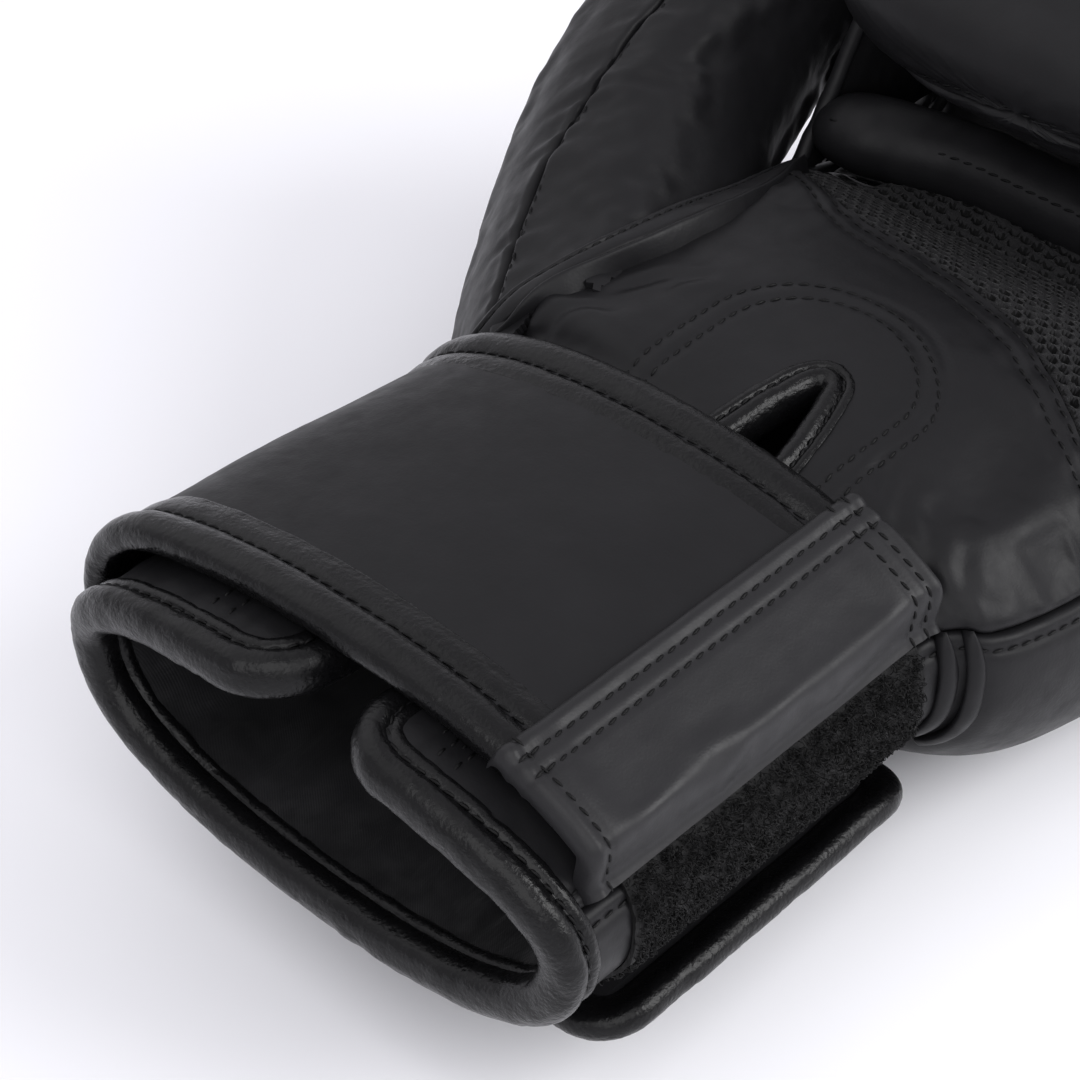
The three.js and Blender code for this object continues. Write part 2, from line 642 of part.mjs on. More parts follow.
function buildStrap() {
  const [wristY, handY] = STRAP_Y;
  const runs = { strap_anchor: [40, STRAP_HINGES[0]] };
  ["strap_palm", "strap_side", "strap_back"].forEach((name, i) => {
    runs[name] = [STRAP_HINGES[i], STRAP_HINGES[i + 1]];
  });
  for (const [name, [from, to]] of Object.entries(runs)) {
    add(`${name}_web`, strapWeb(from, to), MATTE_LEATHER);
    add(`${name}_wrist_binding`, strapBinding(from, to, wristY), GLOSS_LEATHER);
    add(`${name}_hand_binding`, strapBinding(from, to, handY), GLOSS_LEATHER);
  }

  const tabStart = STRAP_HINGES[3];
  const corner = 9; // degrees and millimetres of rounding at the tab's corners, nearly equal here
  const turn = (share) => 1 - Math.cos(share * (Math.PI / 2));
  const outline = [];
  const side = [...span(tabStart + 0.5, STRAP_END - corner, RING_STEP)];
  for (const u of side) outline.push(strapEdge(u, wristY));
  for (const share of [0.5, 1]) {
    const u = STRAP_END - corner + corner * Math.sin((share * Math.PI) / 2);
    outline.push(strapEdge(u, wristY + corner * turn(share)));
  }
  for (const y of [42, 57, 72]) outline.push(strapEdge(STRAP_END, y));
  for (const share of [1, 0.5]) {
    const u = STRAP_END - corner + corner * Math.sin((share * Math.PI) / 2);
    outline.push(strapEdge(u, handY - corner * turn(share)));
  }
  for (const u of side.reverse()) outline.push(strapEdge(u, handY));
  add("strap_tab_binding", tube(outline, STRAP_BINDING_R, { steps: 26 }), GLOSS_LEATHER);

  const clear = STRAP_BINDING_R + GAP;
  const inset = 2.5; // keeps the web's square corners out of the rounded binding
  const vs = [strapSection(STRAP_Y[0] + clear + inset), 1, 2, strapSection(STRAP_Y[1] - clear - inset)];
  const webEnd = STRAP_END - clear - 2;
  const us = span(tabStart + 0.5, webEnd, RING_STEP);
  add("strap_tab_web", panel(strapAt(STRAP_THICK), strapAt(0), us, vs), MATTE_LEATHER);
  const hookUs = span(tabStart + 2, webEnd - 1, RING_STEP);
  add("strap_hook_tape", panel(strapAt(-0.3), strapAt(-1.6), hookUs, vs), HOOK_TAPE);
}

// Leather patch sewn over the strap's fixed end: high over the strap, down to the cuff at the little-finger seam.
function anchorPatch() {
  const high = STRAP_LIFT + STRAP_THICK / 2 + STRAP_BINDING_R + GAP;
  const lift = (u) => 0.6 + (high - 0.6) * smooth(24, 38, u);
  const us = span(SEAM.little + DEGREE_GAP, STRAP_HINGES[0], 5);
  const vs = [STRAP_Y[0] - 4.5, 36, 67, STRAP_Y[1] + 3].map(sectionAtY);
  return panel(
    (u, v) => bodyAt(-lift(u) - LEATHER)(u, v),
    (u, v) => bodyAt(-lift(u))(u, v),
    us,
    vs,
  );
}

// Loop tape on the cuff that the hook tape presses on.
function loopField() {
  const vs = [14, 36, 67, 95].map(sectionAtY);
  return panel(bodyAt(-1.9), bodyAt(-0.5), span(300, 360 + SEAM.little - 2, RING_STEP), vs);
}

// ---------------------------------------------------------------- assembly

buildCuff();
add("edge_binding", tube(edgeBindingPath(), BINDING_R, { loop: true, steps: 76 }), GLOSS_LEATHER);
add("loop_field", loopField(), LOOP_PILE);
buildBody();
add("palm_reinforcement", palmReinforcement(), MATTE_LEATHER);
buildGripBar();
add("thumb_welt", weltGeometry(), MATTE_LEATHER);
buildThumb();
add("thumb_tether", tetherGeometry(), GLOSS_LEATHER);
add("strap_anchor_patch", anchorPatch(), MATTE_LEATHER);
buildStrap();

// The origin goes under the middle of the whole glove.
const extent = new THREE.Box3().setFromObject(glove);
const middle = extent.getCenter(new THREE.Vector3());
glove.position.set(-middle.x, -middle.y, -extent.min.z);

export default glove;
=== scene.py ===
"""Boxing glove lying palm up: leather, linings, bindings, stitching and strap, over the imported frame."""

import math

import bmesh
import bpy
import numpy as np
from mathutils import Matrix, Vector
from mathutils.kdtree import KDTree


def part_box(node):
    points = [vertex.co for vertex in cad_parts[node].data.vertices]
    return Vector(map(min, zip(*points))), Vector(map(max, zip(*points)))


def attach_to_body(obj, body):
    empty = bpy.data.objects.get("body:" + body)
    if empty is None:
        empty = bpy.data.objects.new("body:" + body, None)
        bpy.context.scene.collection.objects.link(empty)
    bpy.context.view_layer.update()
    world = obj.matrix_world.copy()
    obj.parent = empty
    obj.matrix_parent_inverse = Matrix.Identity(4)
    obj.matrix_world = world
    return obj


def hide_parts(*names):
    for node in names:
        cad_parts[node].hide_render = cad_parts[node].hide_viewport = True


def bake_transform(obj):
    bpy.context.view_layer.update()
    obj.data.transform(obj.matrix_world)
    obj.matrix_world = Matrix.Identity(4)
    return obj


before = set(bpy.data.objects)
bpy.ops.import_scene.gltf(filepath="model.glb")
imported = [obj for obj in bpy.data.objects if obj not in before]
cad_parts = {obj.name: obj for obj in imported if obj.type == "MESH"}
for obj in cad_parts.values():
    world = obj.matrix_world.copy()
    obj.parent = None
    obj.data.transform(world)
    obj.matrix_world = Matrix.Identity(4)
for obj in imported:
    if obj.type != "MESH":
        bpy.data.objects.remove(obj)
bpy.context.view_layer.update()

MM = 0.001

# Lengths below are millimetres in the design frame: y = 0 at the wrist rim, x = 0 near the middle of the
# cuff and z = 0 on the resting surface. GRIP_BAR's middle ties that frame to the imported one.
GRIP_BAR = {"middle": (-1.0, 219.0, 71.0), "radius": 9.0, "half": 59.0}


def frame_shift():
    low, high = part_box("grip_bar_cover")
    return (np.array(low) + np.array(high)) / 2 / MM - np.array(GRIP_BAR["middle"])


SHIFT = frame_shift()

# ---------------------------------------------------------------- the forms, as in the CAD part

# y, z, tilt, sideways shift, half width, depth to the palm, depth to the back
BODY = np.array(
    [
        [4, 53, 0, 0, 61, 25, 28],
        [36, 52.5, 0, 0, 60.5, 25.5, 27.5],
        [67, 52, 0, 0, 60, 26, 27],
        [98, 51, 0, 0, 60, 27, 27],
        [108, 48.5, 0, 3, 64.5, 31, 35],
        [124, 45, 0, 5, 66.5, 36, 42],
        [148, 42, 0, 6, 68, 40, 45],
        [174, 40, 0, 6.5, 70.5, 38.5, 44.5],
        [196, 38.2, 0, 5.5, 74.3, 30, 43.2],
        [214, 37.8, 3, 5, 75.8, 25, 42.5],
        [232, 39.5, 14, 5.5, 75.5, 22, 41.5],
        [250, 45, 36, 6.5, 74.5, 21, 40],
        [265, 60, 66, 6.5, 73.5, 20, 39],
        [268, 82, 97, 6, 71, 19, 36],
        [259, 101, 130, 4.5, 67.5, 18, 31],
        [240, 112, 163, 3.5, 63.5, 17, 25],
        [219, 113, 186, 3, 59, 16, 20],
        [204, 110, 198, 2.5, 53.5, 14, 15],
    ],
    float,
)
# wall between the surface and the hand compartment: side, palm, back
WALL = np.array(
    [(7, 7, 7)] * 4
    + [
        (9, 7.5, 14), (13, 8, 26), (16, 9, 33), (18, 9, 35), (20, 8.5, 34), (20, 8, 33.5), (20, 8, 33),
        (20, 7.5, 32), (19, 7.5, 31), (18, 7.5, 28), (18, 7, 23), (18, 7, 17), (18, 7, 13), (18, 7, 13),
    ],
    float,
)  # fmt: skip
# x, y, z, radius
THUMB = np.array(
    [
        [-26, 98, 50, 29],
        [-42, 118, 50, 29],
        [-58, 138, 53, 28.5],
        [-73, 163, 60, 28],
        [-85, 188, 69, 27],
        [-91, 215, 79, 26],
        [-91, 240, 88, 24],
    ],
    float,
)
CUFF_END, MESH_START, MESH_END, KNUCKLES, LAST_ROW, POLE = 3, 7, 9, 11, 17, 18
FINGER_DOME, THUMB_DOME, THUMB_POLE = 14, 20, 7
FLATNESS = 2.3
SEAM_LITTLE, SEAM_THUMB, SEAM_CUFF = 20, 140, 160
THUMB_SEAM = (112.5, 292.5)
SLIT_HALF, SLIT_END_Y, SLIT_CORNER = 8.0, 123.5, 12.0
RIM_LEAD = 4.0
STRAP_THICK, STRAP_END = 3.6, 318
STRAP_HINGES = (61, 135, 225, 290)
STRAP_Y = (10.5, 94.5)


def smooth(a, b, x):
    t = np.clip((x - a) / (b - a), 0, 1)
    return t * t * (3 - 2 * t)


def along(rows, v):
    """Uniform Catmull-Rom interpolation of rows."""
    v = np.asarray(v, float)
    last = len(rows) - 1
    i = np.clip(np.floor(v).astype(int), 0, last - 1)
    t = (np.clip(v, 0, last) - i)[..., None]
    at = lambda k: rows[np.clip(k, 0, last)]
    return (
        at(i - 1) * (-0.5 * t + t**2 - 0.5 * t**3)
        + at(i) * (1 - 2.5 * t**2 + 1.5 * t**3)
        + at(i + 1) * (0.5 * t + 2 * t**2 - 1.5 * t**3)
        + at(i + 2) * (-0.5 * t**2 + 0.5 * t**3)
    )


def squarer(x):
    return np.sign(x) * np.abs(x) ** (2 / FLATNESS)


def seam_drift(u, v):
    turned = (u + 180) % 360 - 180

    def hump(middle, reach):
        return 1 - smooth(0, reach, np.abs(v - middle))

    lower = smooth(-20, 25, turned) * (1 - smooth(30, 105, turned)) * hump(MESH_START, 2)
    upper = smooth(90, 140, turned) * (1 - smooth(145, 179, turned)) * hump(MESH_END, 1.8)
    fork = smooth(105, 138, turned) * (1 - smooth(145, 179, turned)) * hump(MESH_START, 1.8)
    return 1.1 * lower + 0.5 * upper - 0.6 * fork


def thenar(u, v):
    """Fullness of the palm at the root of the thumb."""
    late = smooth(7.5, 9.5, v)
    round_it = 1 - smooth(0, 50 - 15 * late, np.abs(u - 140 - 15 * late))
    return 8 * round_it * smooth(3, 4.2, v) * (1 - smooth(8.4, 12, v))


def body_at(u, v, side, palm=None, back=None):
    """Points of the body's form: u degrees round it, v its section, and the depths below its surface."""
    u, v = np.broadcast_arrays(np.asarray(u, float), np.asarray(v, float))
    palm = side if palm is None else palm
    back = side if back is None else back
    y, z, tilt, x, half, to_palm, to_back = np.moveaxis(along(BODY, v - seam_drift(u, v)), -1, 0)
    turn = np.clip(v - LAST_ROW, 0, 1) * math.pi / 2
    forward = (FINGER_DOME - palm) * np.sin(turn)
    across = (half - side) * squarer(np.cos(np.radians(u))) * np.cos(turn)
    raised = np.sin(np.radians(u))
    up = np.where(raised > 0, to_palm - palm, to_back - back) * squarer(raised) * np.cos(turn) + thenar(u, v)
    y = y - RIM_LEAD * np.maximum(0, raised) * (1 - smooth(0, 0.05, v))
    tilt = np.radians(tilt)
    return np.stack(
        [
            x + across,
            y + forward * np.cos(tilt) - up * np.sin(tilt),
            np.maximum(back, z + forward * np.sin(tilt) + up * np.cos(tilt)),
        ],
        -1,
    )


def body_form(depth=0.0):
    return lambda u, v: body_at(u, v, depth, depth, np.maximum(depth, 0.0) if np.isscalar(depth) else depth)


def wall_form(inset=0.0):
    def form(u, v):
        side, palm, back = np.moveaxis(along(WALL, np.broadcast_arrays(u * 1.0, v * 1.0)[1]), -1, 0)
        return body_at(u, v, side - inset, palm - inset, back - inset)

    return form


def thumb_form(depth=0.0):
    def form(u, v):
        u, v = np.broadcast_arrays(np.asarray(u, float), np.asarray(v, float))
        last = len(THUMB) - 1
        s = along(THUMB, v)
        core = np.minimum(v, last)
        ahead = along(THUMB, core + 0.3)[..., :3] - along(THUMB, core - 0.3)[..., :3]
        ahead /= np.linalg.norm(ahead, axis=-1, keepdims=True)
        aside = -np.cross(np.array([0.0, 0, 1]), ahead)
        aside /= np.linalg.norm(aside, axis=-1, keepdims=True)
        above = np.cross(aside, ahead)
        turn = (np.clip(v - last, 0, 1) * math.pi / 2)[..., None]
        radius = (s[..., 3:] - depth) * np.cos(turn)
        angle = np.radians(u)[..., None]
        return (
            s[..., :3]
            + ahead * (THUMB_DOME - depth) * np.sin(turn)
            + aside * radius * np.cos(angle)
            + above * radius * np.sin(angle)
        )

    return form


_V_TABLE = np.linspace(0, 8, 3000)
_Y_TABLE = along(BODY, _V_TABLE)[:, 0]


def section_at_y(y):
    return np.interp(y, _Y_TABLE, _V_TABLE)


def turn_at_x(x, v, depth):
    row = along(BODY, v)
    share = np.clip((x - row[..., 3]) / (row[..., 4] - depth), -1, 1)
    return np.degrees(np.arccos(np.sign(share) * np.abs(share) ** (FLATNESS / 2)))


def palm_point(x, y, depth):
    v = section_at_y(y)
    return body_at(turn_at_x(x, v, depth), v, depth, depth, depth)


def strap_lift(u):
    return 2 + 2.6 * smooth(180, 250, u) + 6 * smooth(296, STRAP_END, u)


def strap_form(height):
    """Strap surface over u degrees and y millimetres, at a height above its inner face."""

    def form(u, y):
        thumb_side = smooth(112, 150, u) * (1 - smooth(190, 215, u)) * (1 - smooth(30, 90, y))
        y = y + 4 * smooth(230, 300, u)
        raised = -strap_lift(u) - 2.2 * thumb_side - height
        return body_at(u, section_at_y(y), raised, raised, raised)

    return form


# ---------------------------------------------------------------- noise


def _lattice(i, seed):
    h = (i[..., 0] * 374761393 + i[..., 1] * 668265263 + i[..., 2] * 2147483647 + seed * 974711) & 0xFFFFFFFF
    h = ((h ^ (h >> 13)) * 1274126177) & 0xFFFFFFFF
    return ((h ^ (h >> 16)) & 0xFFFF) / 32767.5 - 1


def noise(points, size, seed=0):
    """Smooth value noise from -1 to 1; size is one number or one for each axis, in millimetres."""
    p = points / np.asarray(size, float)
    cell = np.floor(p).astype(np.int64)
    f = p - cell
    f = f * f * (3 - 2 * f)
    total = 0
    for corner in range(8):
        step = np.array([corner & 1, corner >> 1 & 1, corner >> 2 & 1])
        weight = np.prod(np.where(step == 1, f, 1 - f), axis=-1)
        total = total + weight * _lattice(cell + step, seed)
    return total


def rumple(points, size, seed=0, octaves=3):
    total, gain = 0, 1.0
    for k in range(octaves):
        total = total + gain * noise(points, np.asarray(size, float) / 2**k, seed + k)
        gain *= 0.5
    return total


def creases(points, size, seed=0):
    """Thin valleys, as where soft leather folds: 0 on the flat, towards 1 in a crease."""
    warped = points + 2.5 * np.stack([noise(points, 9, seed + 7 + k) for k in range(3)], -1)
    return np.exp(-((noise(warped, size, seed) / 0.09) ** 2))


# ---------------------------------------------------------------- grids


def lines(first, last, coarse, fine=None, margin=0.0):
    """Grid lines from first to last, fine within a margin of both ends."""
    fine = coarse if fine is None else fine
    spots = [first]
    while spots[-1] < last:
        here = spots[-1]
        near = min(here - first, last - here)
        blend = min(max((near - margin) / max(margin, 1e-6), 0), 1) if margin else 1
        spots.append(here + fine + (coarse - fine) * blend)
    spots = np.array(spots)
    return first + (spots - first) * (last - first) / (spots[-1] - first)


def unit(a):
    return a / np.maximum(np.linalg.norm(a, axis=-1, keepdims=True), 1e-9)


def patch(form, us, vs, du=0.3, dv=0.01):
    """Points and outward normals of a form over grid lines; rows run along v."""
    u, v = np.meshgrid(us, vs)
    points = form(u, v)
    across = form(u + du, v) - form(u - du, v)
    onward = form(u, v + dv) - form(u, v - dv)
    return points, unit(np.cross(onward, across))


def edge_distances(points):
    """Distance of every grid point from each edge, along the grid."""
    u_steps = np.linalg.norm(np.diff(points, axis=1), axis=-1)
    v_steps = np.linalg.norm(np.diff(points, axis=0), axis=-1)
    u_run = np.concatenate([np.zeros((len(points), 1)), np.cumsum(u_steps, 1)], 1)
    v_run = np.concatenate([np.zeros((1, points.shape[1])), np.cumsum(v_steps, 0)], 0)
    return {"left": u_run, "right": u_run[:, -1:] - u_run, "low": v_run, "high": v_run[-1:] - v_run}


def rolled(distance, radius):
    """How far a turned-in edge drops below the surface."""
    inside = np.clip(radius - distance, 0, radius)
    return radius - np.sqrt(np.maximum(radius**2 - inside**2, 0))


def edge_line(points, distances, edge, at):
    """The line on a grid that keeps one distance from an edge."""
    d = distances[edge]
    if edge in ("left", "right"):
        points, d = points.transpose(1, 0, 2), d.T
    found = []
    for k in range(points.shape[1]):
        order = np.argsort(d[:, k])
        if d[:, k].max() < at:
            continue
        found.append([np.interp(at, d[order, k], points[order, k, c]) for c in range(3)])
    return np.array(found)


def upsample(coarse, rows, columns, shape):
    """Catmull-Rom interpolation of values on some grid rows and columns to the whole grid."""

    def stretch(values, knots, count):
        place = np.interp(np.arange(count), knots, np.arange(len(knots)))
        return along(values, place)

    tall = stretch(coarse.reshape(len(rows), -1), rows, shape[0]).reshape(shape[0], len(columns), -1)
    wide = stretch(tall.transpose(1, 0, 2).reshape(len(columns), -1), columns, shape[1])
    return wide.reshape(shape[1], shape[0], -1).transpose(1, 0, 2)


def knots(distances_along, spacing):
    """Indices of grid lines about a spacing apart, both ends included."""
    wanted = np.arange(0, distances_along[-1], spacing)
    picked = {int(np.argmin(np.abs(distances_along - w))) for w in wanted}
    return np.array(sorted(picked | {len(distances_along) - 1}))


def billow(points, normals, pressure, slack, cap, spacing=3.2, frames=20):
    """The patch after a cloth simulation, edges sewn down: a little too much leather over air pressure."""
    run = edge_distances(points)
    columns = knots(run["left"][len(points) // 2], spacing)
    rows = knots(run["low"][:, points.shape[1] // 2], spacing)
    coarse = points[np.ix_(rows, columns)]
    flat = coarse.reshape(-1, 3)
    count_v, count_u = coarse.shape[:2]
    index = np.arange(count_v * count_u).reshape(count_v, count_u)
    quads = np.stack([index[:-1, :-1], index[1:, :-1], index[1:, 1:], index[:-1, 1:]], -1).reshape(-1, 4)
    mesh = bpy.data.meshes.new("billow")
    mesh.from_pydata((flat * MM).tolist(), [], quads[:, ::-1].tolist())
    cloth_object = bpy.data.objects.new("billow", mesh)
    bpy.context.scene.collection.objects.link(cloth_object)
    group = cloth_object.vertex_groups.new(name="sewn")
    border = np.concatenate([index[0], index[-1], index[:, 0], index[:, -1]])
    group.add([int(i) for i in border], 1.0, "REPLACE")
    cloth = cloth_object.modifiers.new("Cloth", "CLOTH")
    settings = cloth.settings
    settings.quality = 6
    settings.mass = 0.3
    settings.tension_stiffness = settings.compression_stiffness = 15
    settings.shear_stiffness = 5
    settings.bending_stiffness = 0.4
    settings.air_damping = 2
    settings.vertex_group_mass = "sewn"
    settings.shrink_min = -slack
    settings.use_pressure = True
    settings.uniform_pressure_force = pressure
    settings.effector_weights.gravity = 0
    cloth.point_cache.frame_start, cloth.point_cache.frame_end = 1, frames
    for step in range(1, frames + 1):
        bpy.context.scene.frame_set(step)
    evaluated = cloth_object.evaluated_get(bpy.context.evaluated_depsgraph_get())
    moved = np.zeros(len(flat) * 3, np.float32)
    evaluated.data.vertices.foreach_get("co", moved)
    moved = moved.reshape(-1, 3).astype(float) / MM - flat
    bpy.data.objects.remove(cloth_object)
    bpy.data.meshes.remove(mesh)
    bpy.context.scene.frame_set(1)
    coarse_normals = normals[np.ix_(rows, columns)].reshape(-1, 3)
    lift = np.sum(moved * coarse_normals, -1)
    lift = np.where(lift > 0, cap * np.tanh(lift / cap), 0.35 * cap * np.tanh(lift / (0.35 * cap)))
    lift = upsample(lift.reshape(count_v, count_u, 1), rows, columns, points.shape[:2])[..., 0]
    return points + normals * lift[..., None]


# ---------------------------------------------------------------- meshes

def place(points):
    return (np.asarray(points, float).reshape(-1, 3) + SHIFT) * MM


def make_object(name, points, faces, material, sharp=50):
    """An object of one mesh; points are design millimetres."""
    mesh = bpy.data.meshes.new(name)
    mesh.from_pydata(place(points).tolist(), [], [list(map(int, f)) for f in faces])
    mesh.validate()
    mesh.update()
    mesh.shade_smooth()
    mesh.set_sharp_from_angle(angle=math.radians(sharp))
    mesh.materials.append(material)
    obj = bpy.data.objects.new(name, mesh)
    bpy.context.scene.collection.objects.link(obj)
    return obj


def slab(name, top, bottom, material, keep=None, ring=False, sharp=50):
    """The closed solid between two grids of points, with side walls wherever the kept quads end."""
    rows, columns = top.shape[:2]
    index = np.arange(rows * columns).reshape(rows, columns)
    right = np.roll(index, -1, 1) if ring else index[:, 1:]
    left = index if ring else index[:, :-1]
    quads = np.stack([left[:-1], right[:-1], right[1:], left[1:]], -1).reshape(-1, 4)
    if keep is not None:
        quads = quads[keep[quads].all(1)]
    count = rows * columns
    edges = np.concatenate([quads[:, [k, (k + 1) % 4]] for k in range(4)])
    seen = {}
    for a, b in edges.tolist():
        seen[(a, b)] = True
    walls = [(b, a, a + count, b + count) for a, b in seen if (b, a) not in seen]
    used = np.zeros(count * 2, bool)
    used[quads.ravel()] = True
    used[count:] = used[:count]
    renumber = np.cumsum(used) - 1
    faces = quads.tolist() + (quads[:, ::-1] + count).tolist() + walls
    faces = [[renumber[i] for i in f] for f in faces]
    points = np.concatenate([top.reshape(-1, 3), bottom.reshape(-1, 3)])[used]
    # u runs the other way round than the mesh needs for outward faces
    return make_object(name, points, [f[::-1] for f in faces], material, sharp)


def carried(path, inward, ups, profile):
    """A profile's (inward, up) points at every point of a path."""
    return path[:, None] + inward[:, None] * profile[None, :, :1] + ups[:, None] * profile[None, :, 1:]


def sweep(name, path, up, inward, profile, material, closed=False, wrinkle=None):
    """A closed profile of (inward, up) points carried along a path; wrinkle moves its surface in or out."""
    profile = np.asarray(profile, float)
    ahead = np.roll(profile, -1, 0) - np.roll(profile, 1, 0)
    out = unit(np.stack([ahead[:, 1], -ahead[:, 0]], -1))
    area = np.sum(profile[:, 0] * np.roll(profile[:, 1], -1) - np.roll(profile[:, 0], -1) * profile[:, 1])
    out = out if area > 0 else -out
    shape = profile[None] + (0 if wrinkle is None else wrinkle[..., None] * out[None])
    rings = path[:, None] + inward[:, None] * shape[..., :1] + up[:, None] * shape[..., 1:]
    count, sides = rings.shape[:2]
    index = np.arange(count * sides).reshape(count, sides)
    after = np.roll(index, -1, 0) if closed else index[1:]
    before = index if closed else index[:-1]
    faces = np.stack(
        [before, np.roll(before, -1, 1), np.roll(after, -1, 1), after], -1
    ).reshape(-1, 4).tolist()
    if not closed:
        faces += [index[0][::-1].tolist(), index[-1].tolist()]
    obj = make_object(name, rings, faces, material, 60)
    fix_normals(obj)
    return obj


def fix_normals(obj):
    work = bmesh.new()
    work.from_mesh(obj.data)
    bmesh.ops.recalc_face_normals(work, faces=work.faces)
    work.to_mesh(obj.data)
    work.free()
    obj.data.shade_smooth()
    obj.data.set_sharp_from_angle(angle=math.radians(60))


def smooth_profile(points, steps=3):
    """A closed profile rounded through its points."""
    points = np.asarray(points, float)
    count = len(points)
    t = np.arange(steps) / steps
    out = []
    for i in range(count):
        p0, p1, p2, p3 = (points[(i + k) % count] for k in (-1, 0, 1, 2))
        square = 2 * p0 - 5 * p1 + 4 * p2 - p3
        cube = 3 * p1 - p0 - 3 * p2 + p3
        out += [0.5 * (2 * p1 + (p2 - p0) * s + square * s**2 + cube * s**3) for s in t]
    return np.array(out)


def run_along(path):
    """How far along a path each of its points lies."""
    return np.concatenate([[0], np.cumsum(np.linalg.norm(np.diff(path, axis=0), axis=-1))])


def resample(path, step, closed=False):
    """Points an even step apart along a path, and how far along each lies."""
    path = np.concatenate([path, path[:1]]) if closed else path
    run = run_along(path)
    count = max(2, int(round(run[-1] / step)) + (0 if closed else 1))
    at = np.linspace(0, run[-1], count, endpoint=not closed)
    return np.stack([np.interp(at, run, path[:, c]) for c in range(3)], -1), at


def tangents(path, closed=False):
    if closed:
        return unit(np.roll(path, -1, 0) - np.roll(path, 1, 0))
    return unit(np.gradient(path, axis=0))


# ---------------------------------------------------------------- stitches

STITCH_PITCH, STITCH_LENGTH, STITCH_RADIUS = 3.2, 2.5, 0.27
STITCH_LEAN = math.radians(9)


def stitch_template():
    rings, sides = 7, 6
    points, faces = [], []
    for i in range(rings):
        t = i / (rings - 1) * 2 - 1
        radius = STITCH_RADIUS * math.sqrt(max(0.06, 1 - abs(t) ** 3))
        height = 0.3 * (1 - t * t) - 0.14
        for k in range(sides):
            a = 2 * math.pi * k / sides + 0.5 * t
            points.append((t * STITCH_LENGTH / 2, radius * math.cos(a), height + radius * math.sin(a)))
    for i in range(rings - 1):
        for k in range(sides):
            a, b = i * sides + k, i * sides + (k + 1) % sides
            faces.append((a, b, b + sides, a + sides))
    faces.append(tuple(range(sides))[::-1])
    faces.append(tuple((rings - 1) * sides + k for k in range(sides)))
    return np.array(points), faces


def stitches(name, rows):
    """One object for rows of stitches; a row is a path on a surface and that surface's normals."""
    template, faces = stitch_template()
    all_points, all_faces, base = [], [], 0
    for path, normals in rows:
        spots, _ = resample(path, STITCH_PITCH)
        nearest = [int(np.argmin(np.sum((path - s) ** 2, -1))) for s in spots]
        up = unit(normals[nearest])
        ahead = tangents(spots)
        ahead = unit(ahead - up * np.sum(ahead * up, -1, keepdims=True))
        aside = np.cross(up, ahead)
        c, s = math.cos(STITCH_LEAN), math.sin(STITCH_LEAN)
        ahead, aside = ahead * c + aside * s, aside * c - ahead * s
        for spot, a, b, n in zip(spots, ahead, aside, up):
            all_points.append(spot + template[:, :1] * a + template[:, 1:2] * b + template[:, 2:] * n)
            all_faces += [tuple(i + base for i in f) for f in faces]
            base += len(template)
    obj = make_object(name, np.concatenate(all_points), all_faces, THREAD, 80)
    fix_normals(obj)
    return obj


# ---------------------------------------------------------------- materials


